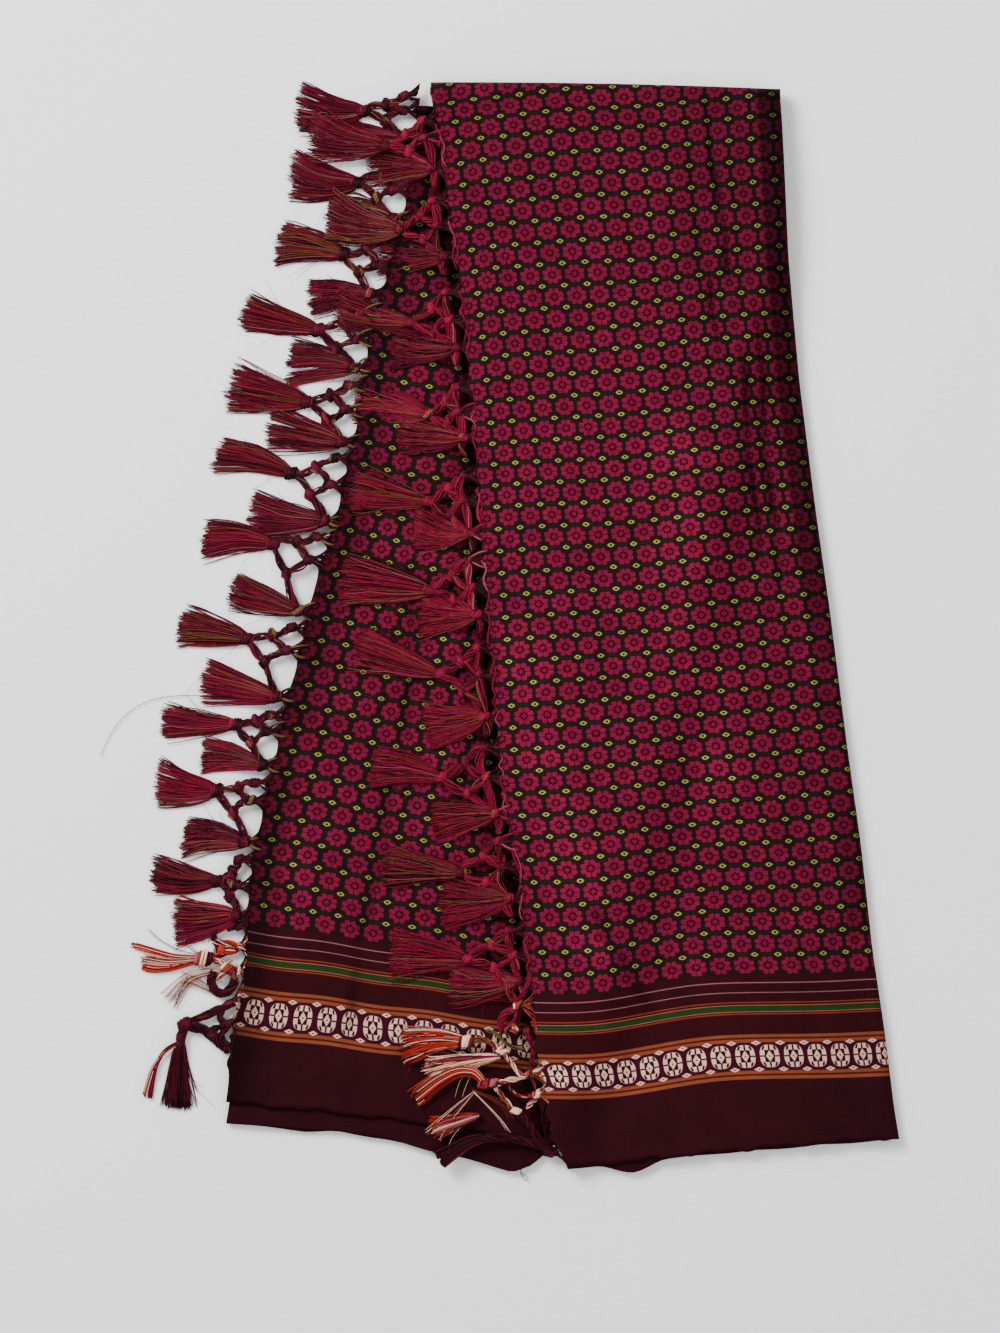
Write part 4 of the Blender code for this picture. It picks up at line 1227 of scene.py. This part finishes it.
def plain_material(name, roughness, specular, sheen=0.0, colour=None):
    material = bpy.data.materials.new(name)
    material.use_nodes = True
    inputs = material.node_tree.nodes["Principled BSDF"].inputs
    inputs["Roughness"].default_value = roughness
    inputs["Specular IOR Level"].default_value = specular
    inputs["Sheen Weight"].default_value = sheen
    if colour:
        inputs["Base Color"].default_value = linear(colour)
    return material


def start_cloth(name):
    """A cloth's material, and the place in the weave: columns across it and rows along it."""
    material = plain_material(name, 0.7, 0.035, 0.008)
    tree = material.node_tree
    tree.nodes["Principled BSDF"].inputs["Sheen Roughness"].default_value = 0.3
    uv = tree.nodes.new("ShaderNodeUVMap")
    uv.uv_map = "weave"
    apart = tree.nodes.new("ShaderNodeSeparateXYZ")
    tree.links.new(uv.outputs["UV"], apart.inputs["Vector"])
    return material, tree, uv.outputs["UV"], Value(tree, apart.outputs["X"]), Value(tree, apart.outputs["Y"])


def finish_cloth(tree, uv, colour):
    """Tone differences of the threads, times the painted shade stored on the mesh, and a fine bump of the
    weave.
    """
    shader = tree.nodes["Principled BSDF"]
    shade = tree.nodes.new("ShaderNodeAttribute")
    shade.attribute_name = "shade"
    slub = noise(tree, uv, 1.0, 3.0, 2.0, 26.0)
    patch = noise(tree, uv, 0.7, 2.0)
    # bright is the threads' own tone differences times the painted shade from the mesh.
    bright = (slub * 0.5 + patch * 0.45 + 0.53) * Value(tree, shade.outputs["Fac"])
    grey = tree.nodes.new("ShaderNodeCombineColor")
    for slot in grey.inputs:
        tree.links.new(bright.socket, slot)
    node = tree.nodes.new("ShaderNodeMix")
    node.data_type = "RGBA"
    node.blend_type = "MULTIPLY"
    node.inputs["Factor"].default_value = 1.0
    tree.links.new(colour, node.inputs["A"])
    tree.links.new(grey.outputs["Color"], node.inputs["B"])
    tree.links.new(node.outputs["Result"], shader.inputs["Base Color"])
    bump = tree.nodes.new("ShaderNodeBump")
    bump.inputs["Strength"].default_value = 0.35
    bump.inputs["Distance"].default_value = 0.0003
    tree.links.new(noise(tree, uv, 1.0, 1.0, 30.0, 60.0).socket, bump.inputs["Height"])
    tree.links.new(bump.outputs["Normal"], shader.inputs["Normal"])


def petal(far_x, far_y, middle, half):
    """Under 1 inside a petal, which is an oval with full sides."""
    (middle_x, middle_y), (half_x, half_y) = middle, half
    return ((far_x - middle_x) / half_x).abs().power(3.0) + ((far_y - middle_y) / half_y).abs().power(3.0)


def body_material(name, column=COLUMN_PIXELS):
    """The body's weave: rows of eight-petalled flowers, with a small ring where four of them meet."""
    material, tree, uv, s, t = start_cloth(name)
    wobble = noise(tree, uv, 6.0, 1.0) - 0.5
    wobble_too = noise(tree, uv, 7.3, 1.0, 1.3, 0.9) - 0.5
    far_x = (s.repeat() * (column * 1.04) + wobble * 1.6).abs()
    far_y = (t.repeat() * ROW_PIXELS + wobble_too * 1.6).abs()
    upright = petal(far_x, far_y, (2.95, 5.95), (2.7, 2.65))
    sideways = petal(far_x, far_y, (6.95, 2.55), (3.2, 2.35))
    petals = upright.least(sideways).inside(0.95, 0.35)
    from_heart = (far_x / 2.9) + (far_y / 2.6)
    heart = from_heart.inside(1.0, 0.25) * (from_heart.inside(0.34, 0.14) * -0.6 + 1.0)
    whole = ((far_x / 9.8).squared().squared() + (far_y / 8.5).squared().squared()).inside(0.95, 0.2)
    hue = noise(tree, uv, 2.4, 2.0)
    threads = noise(tree, uv, 1.0, 2.0, 3.0, 30.0)
    pinks = over(
        tree,
        (104, 15, 39),
        ((96, 12, 45), hue.inside(0.5, 0.12)),
        ((117, 29, 57), threads.inside(0.42, 0.1) * 0.6),
    )
    ring_x = s.repeat(0.5) * column + wobble * 0.8
    ring_y = t.repeat(0.5) * ROW_PIXELS + wobble_too * 0.8
    outer = (ring_x.abs() / 3.45) + (ring_y / 2.25).squared()
    inner = (ring_x / 1.6).squared() + (ring_y / 1.15).squared()
    above_border = (t * -1.0).inside(-0.5, 0.05)
    colour = over(
        tree,
        GROUND,
        ((26, 15, 16), (s.repeat(0.5) * column).abs().inside(1.9, 0.8)),
        ((26, 22, 18), (t.repeat(0.5) * ROW_PIXELS).abs().inside(1.5, 0.8)),
        ((51, 2, 17), whole),
        (pinks, petals.most(heart)),
        ((139, 134, 55), outer.inside(0.98, 0.2) * above_border),
        ((38, 26, 13), inner.inside(0.95, 0.4) * above_border),
        (PLAIN_BORDER, t.inside(0.06, 0.02)),
    )
    finish_cloth(tree, uv, colour)
    return material


# The border's stripes, down from the body: middle and half width in photo pixels, and colour
STRIPES = (
    (6.4, 0.5, (126, 78, 91)),
    (16.3, 0.42, (126, 78, 91)),
    (26.3, 0.62, (117, 41, 32)),
    (29.1, 0.4, (130, 81, 55)),
    (32.4, 2.4, (27, 48, 19)),
    (35.6, 0.4, (130, 81, 55)),
    (37.8, 0.62, (117, 41, 32)),
    (80.0, 16.0, (52, 7, 23)),
    (59.9, 1.6, (115, 57, 35)),
    (64.4, 1.9, (115, 57, 35)),
    (62.2, 0.95, (72, 12, 10)),
    (96.4, 1.7, (115, 57, 35)),
    (101.2, 1.9, (115, 57, 35)),
    (98.8, 0.95, (72, 12, 10)),
)
MEDALLIONS_DOWN = 80.2
EYES_DOWN = (66.9, 93.4)
WHITE_THREAD = (210, 163, 147)


def border_material(name, column=COLUMN_PIXELS):
    """The border's weave: fine lines, a green stripe, and medallions between orange double stripes."""
    material, tree, uv, s, t = start_cloth(name)
    down = t * -ROW_PIXELS
    wobble = noise(tree, uv, 5.0, 1.0) - 0.5
    colour = over(
        tree,
        GROUND,
        (PLAIN_BORDER, down.inside(-1.3, 0.4).rest()),
        ((40, 8, 15), down.inside(103.0, 1.0).rest()),
        *((shown, down.band(middle, half)) for middle, half, shown in STRIPES),
    )
    far_x = (s.repeat(0.5) * column + wobble * 0.7).abs()
    far_y = (down - MEDALLIONS_DOWN).abs()
    medallion = ((far_x / 9.5).power(2.7) + (far_y / 11.6).power(2.7)).inside(0.93, 0.08)
    upright = far_x.inside(0.95, 0.25) * far_y.inside(5.6, 0.4).rest()
    level = far_y.inside(0.8, 0.25) * far_x.inside(4.2, 0.4).rest()
    from_slash = far_y - 8.1
    slash = (far_x - 5.5 + from_slash * 0.35).abs().inside(1.1, 0.3) * from_slash.abs().inside(2.1, 0.3)
    heart = (far_x / 3.5 + far_y / 5.7).inside(1.0, 0.12)
    ring = far_x.inside(4.8, 0.3) * far_y.inside(6.2, 0.3) * heart.rest()
    dark = slash.most(upright).most(level).most(ring)
    core = (far_x / 1.2 + far_y / 1.2).inside(1.0, 0.4)
    layers = [(WHITE_THREAD, medallion), ((38, 10, 13), medallion * dark), ((85, 58, 56), medallion * core)]
    eye_x = (s.repeat() * column).abs()
    for middle in EYES_DOWN:
        eye_y = (down - middle).abs()
        layers.append((WHITE_THREAD, (eye_x / 4.8 + eye_y / 2.3).inside(1.0, 0.16)))
        layers.append(((65, 31, 25), (eye_x / 1.6 + eye_y / 0.8).inside(1.0, 0.3)))
    finish_cloth(tree, uv, over(tree, colour, *layers))
    return material


def place_camera():
    """Straight above, framed as the photo is."""
    field = PHOTO_HEIGHT / PIXELS_PER_MM * 0.001
    data = bpy.data.cameras.new("camera")
    data.sensor_fit = "VERTICAL"
    data.sensor_height = SENSOR
    data.lens = SENSOR * (CAMERA_HEIGHT - LOOKED_AT) / field
    camera = bpy.data.objects.new("camera", data)
    middle_x = (PHOTO_WIDTH / 2 - ZERO_X) / PIXELS_PER_MM + SHIFT_X
    middle_y = (ZERO_Y - PHOTO_HEIGHT / 2) / PIXELS_PER_MM + SHIFT_Y
    camera.location = (middle_x * 0.001, middle_y * 0.001, CAMERA_HEIGHT)
    place_in_scene(camera)
    bpy.context.scene.camera = camera


def add_light(name, location, size, power):
    """A soft square light that shines on the middle."""
    data = bpy.data.lights.new(name, "AREA")
    data.size = size
    data.energy = power
    light = bpy.data.objects.new(name, data)
    light.location = location
    light.rotation_euler = (-Vector(location)).to_track_quat("-Z", "Y").to_euler()
    place_in_scene(light)


def make_stage():
    mesh = bpy.data.meshes.new("floor")
    side = FLOOR_HALF_SIDE
    corners = [(-side, -side, 0), (side, -side, 0), (side, side, 0), (-side, side, 0)]
    mesh.from_pydata(corners, [], [(0, 1, 2, 3)])
    mesh.materials.append(plain_material("pale_floor", 0.9, 0.1, colour=(251, 251, 252)))
    floor = bpy.data.objects.new("floor", mesh)
    floor.location.z = -0.0002
    place_in_scene(floor)
    world = bpy.data.worlds.new("studio")
    world.use_nodes = True
    background = world.node_tree.nodes["Background"]
    background.inputs["Color"].default_value = (0.97, 0.98, 1.0, 1.0)
    background.inputs["Strength"].default_value = 0.75
    bpy.context.scene.world = world
    add_light("key", (-1.0, 0.9, 1.3), 0.8, 52.0)
    add_light("fill", (0.8, -0.4, 1.8), 1.6, 12.0)


body = body_material("flower_weave")
border = border_material("border_weave")
back_body = body_material("back_flower_weave", BACK_DRAWN_COLUMN)
back_border = border_material("back_border_weave", BACK_DRAWN_COLUMN)
front_cloth = make_front_cloth([body, border])
back_cloth = make_back_cloth([back_body, back_border])
front_folds = make_front_layers([body, border])
back_folds = make_back_layers([back_body, back_border])
top_folds = make_fold_layers([body])
yarns = [plain_material(name + "_yarn", 0.45, 0.07, 0.004, colour) for name, colour in YARN_COLOURS]

left_half = Half(
    "left", LEFT_UNITS, LEFT_TIED, back_outline, (4.2, 2.9, 2.1), back_surface, back_floor, "dark", 100
)
front_half = Half(
    "front", FRONT_UNITS, FRONT_TIED, front_outline, (10.2, 9.0, 8.1), front_surface, front_floor, "bright", 300
)
left_fringe = make_fringe(left_half, yarns)
front_fringe = make_fringe(front_half, yarns)

for piece, node, slot in (
    (front_cloth, "front_stretch", "woven_cloth"),
    (back_cloth, "back_stretch", "woven_cloth"),
    (front_folds, "front_layers", "layered_cloth"),
    (back_folds, "back_layers", "layered_cloth"),
    (top_folds, "fold_layers", "layered_cloth"),
):
    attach(piece, "root")
    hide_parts(node)

make_stage()
place_camera()
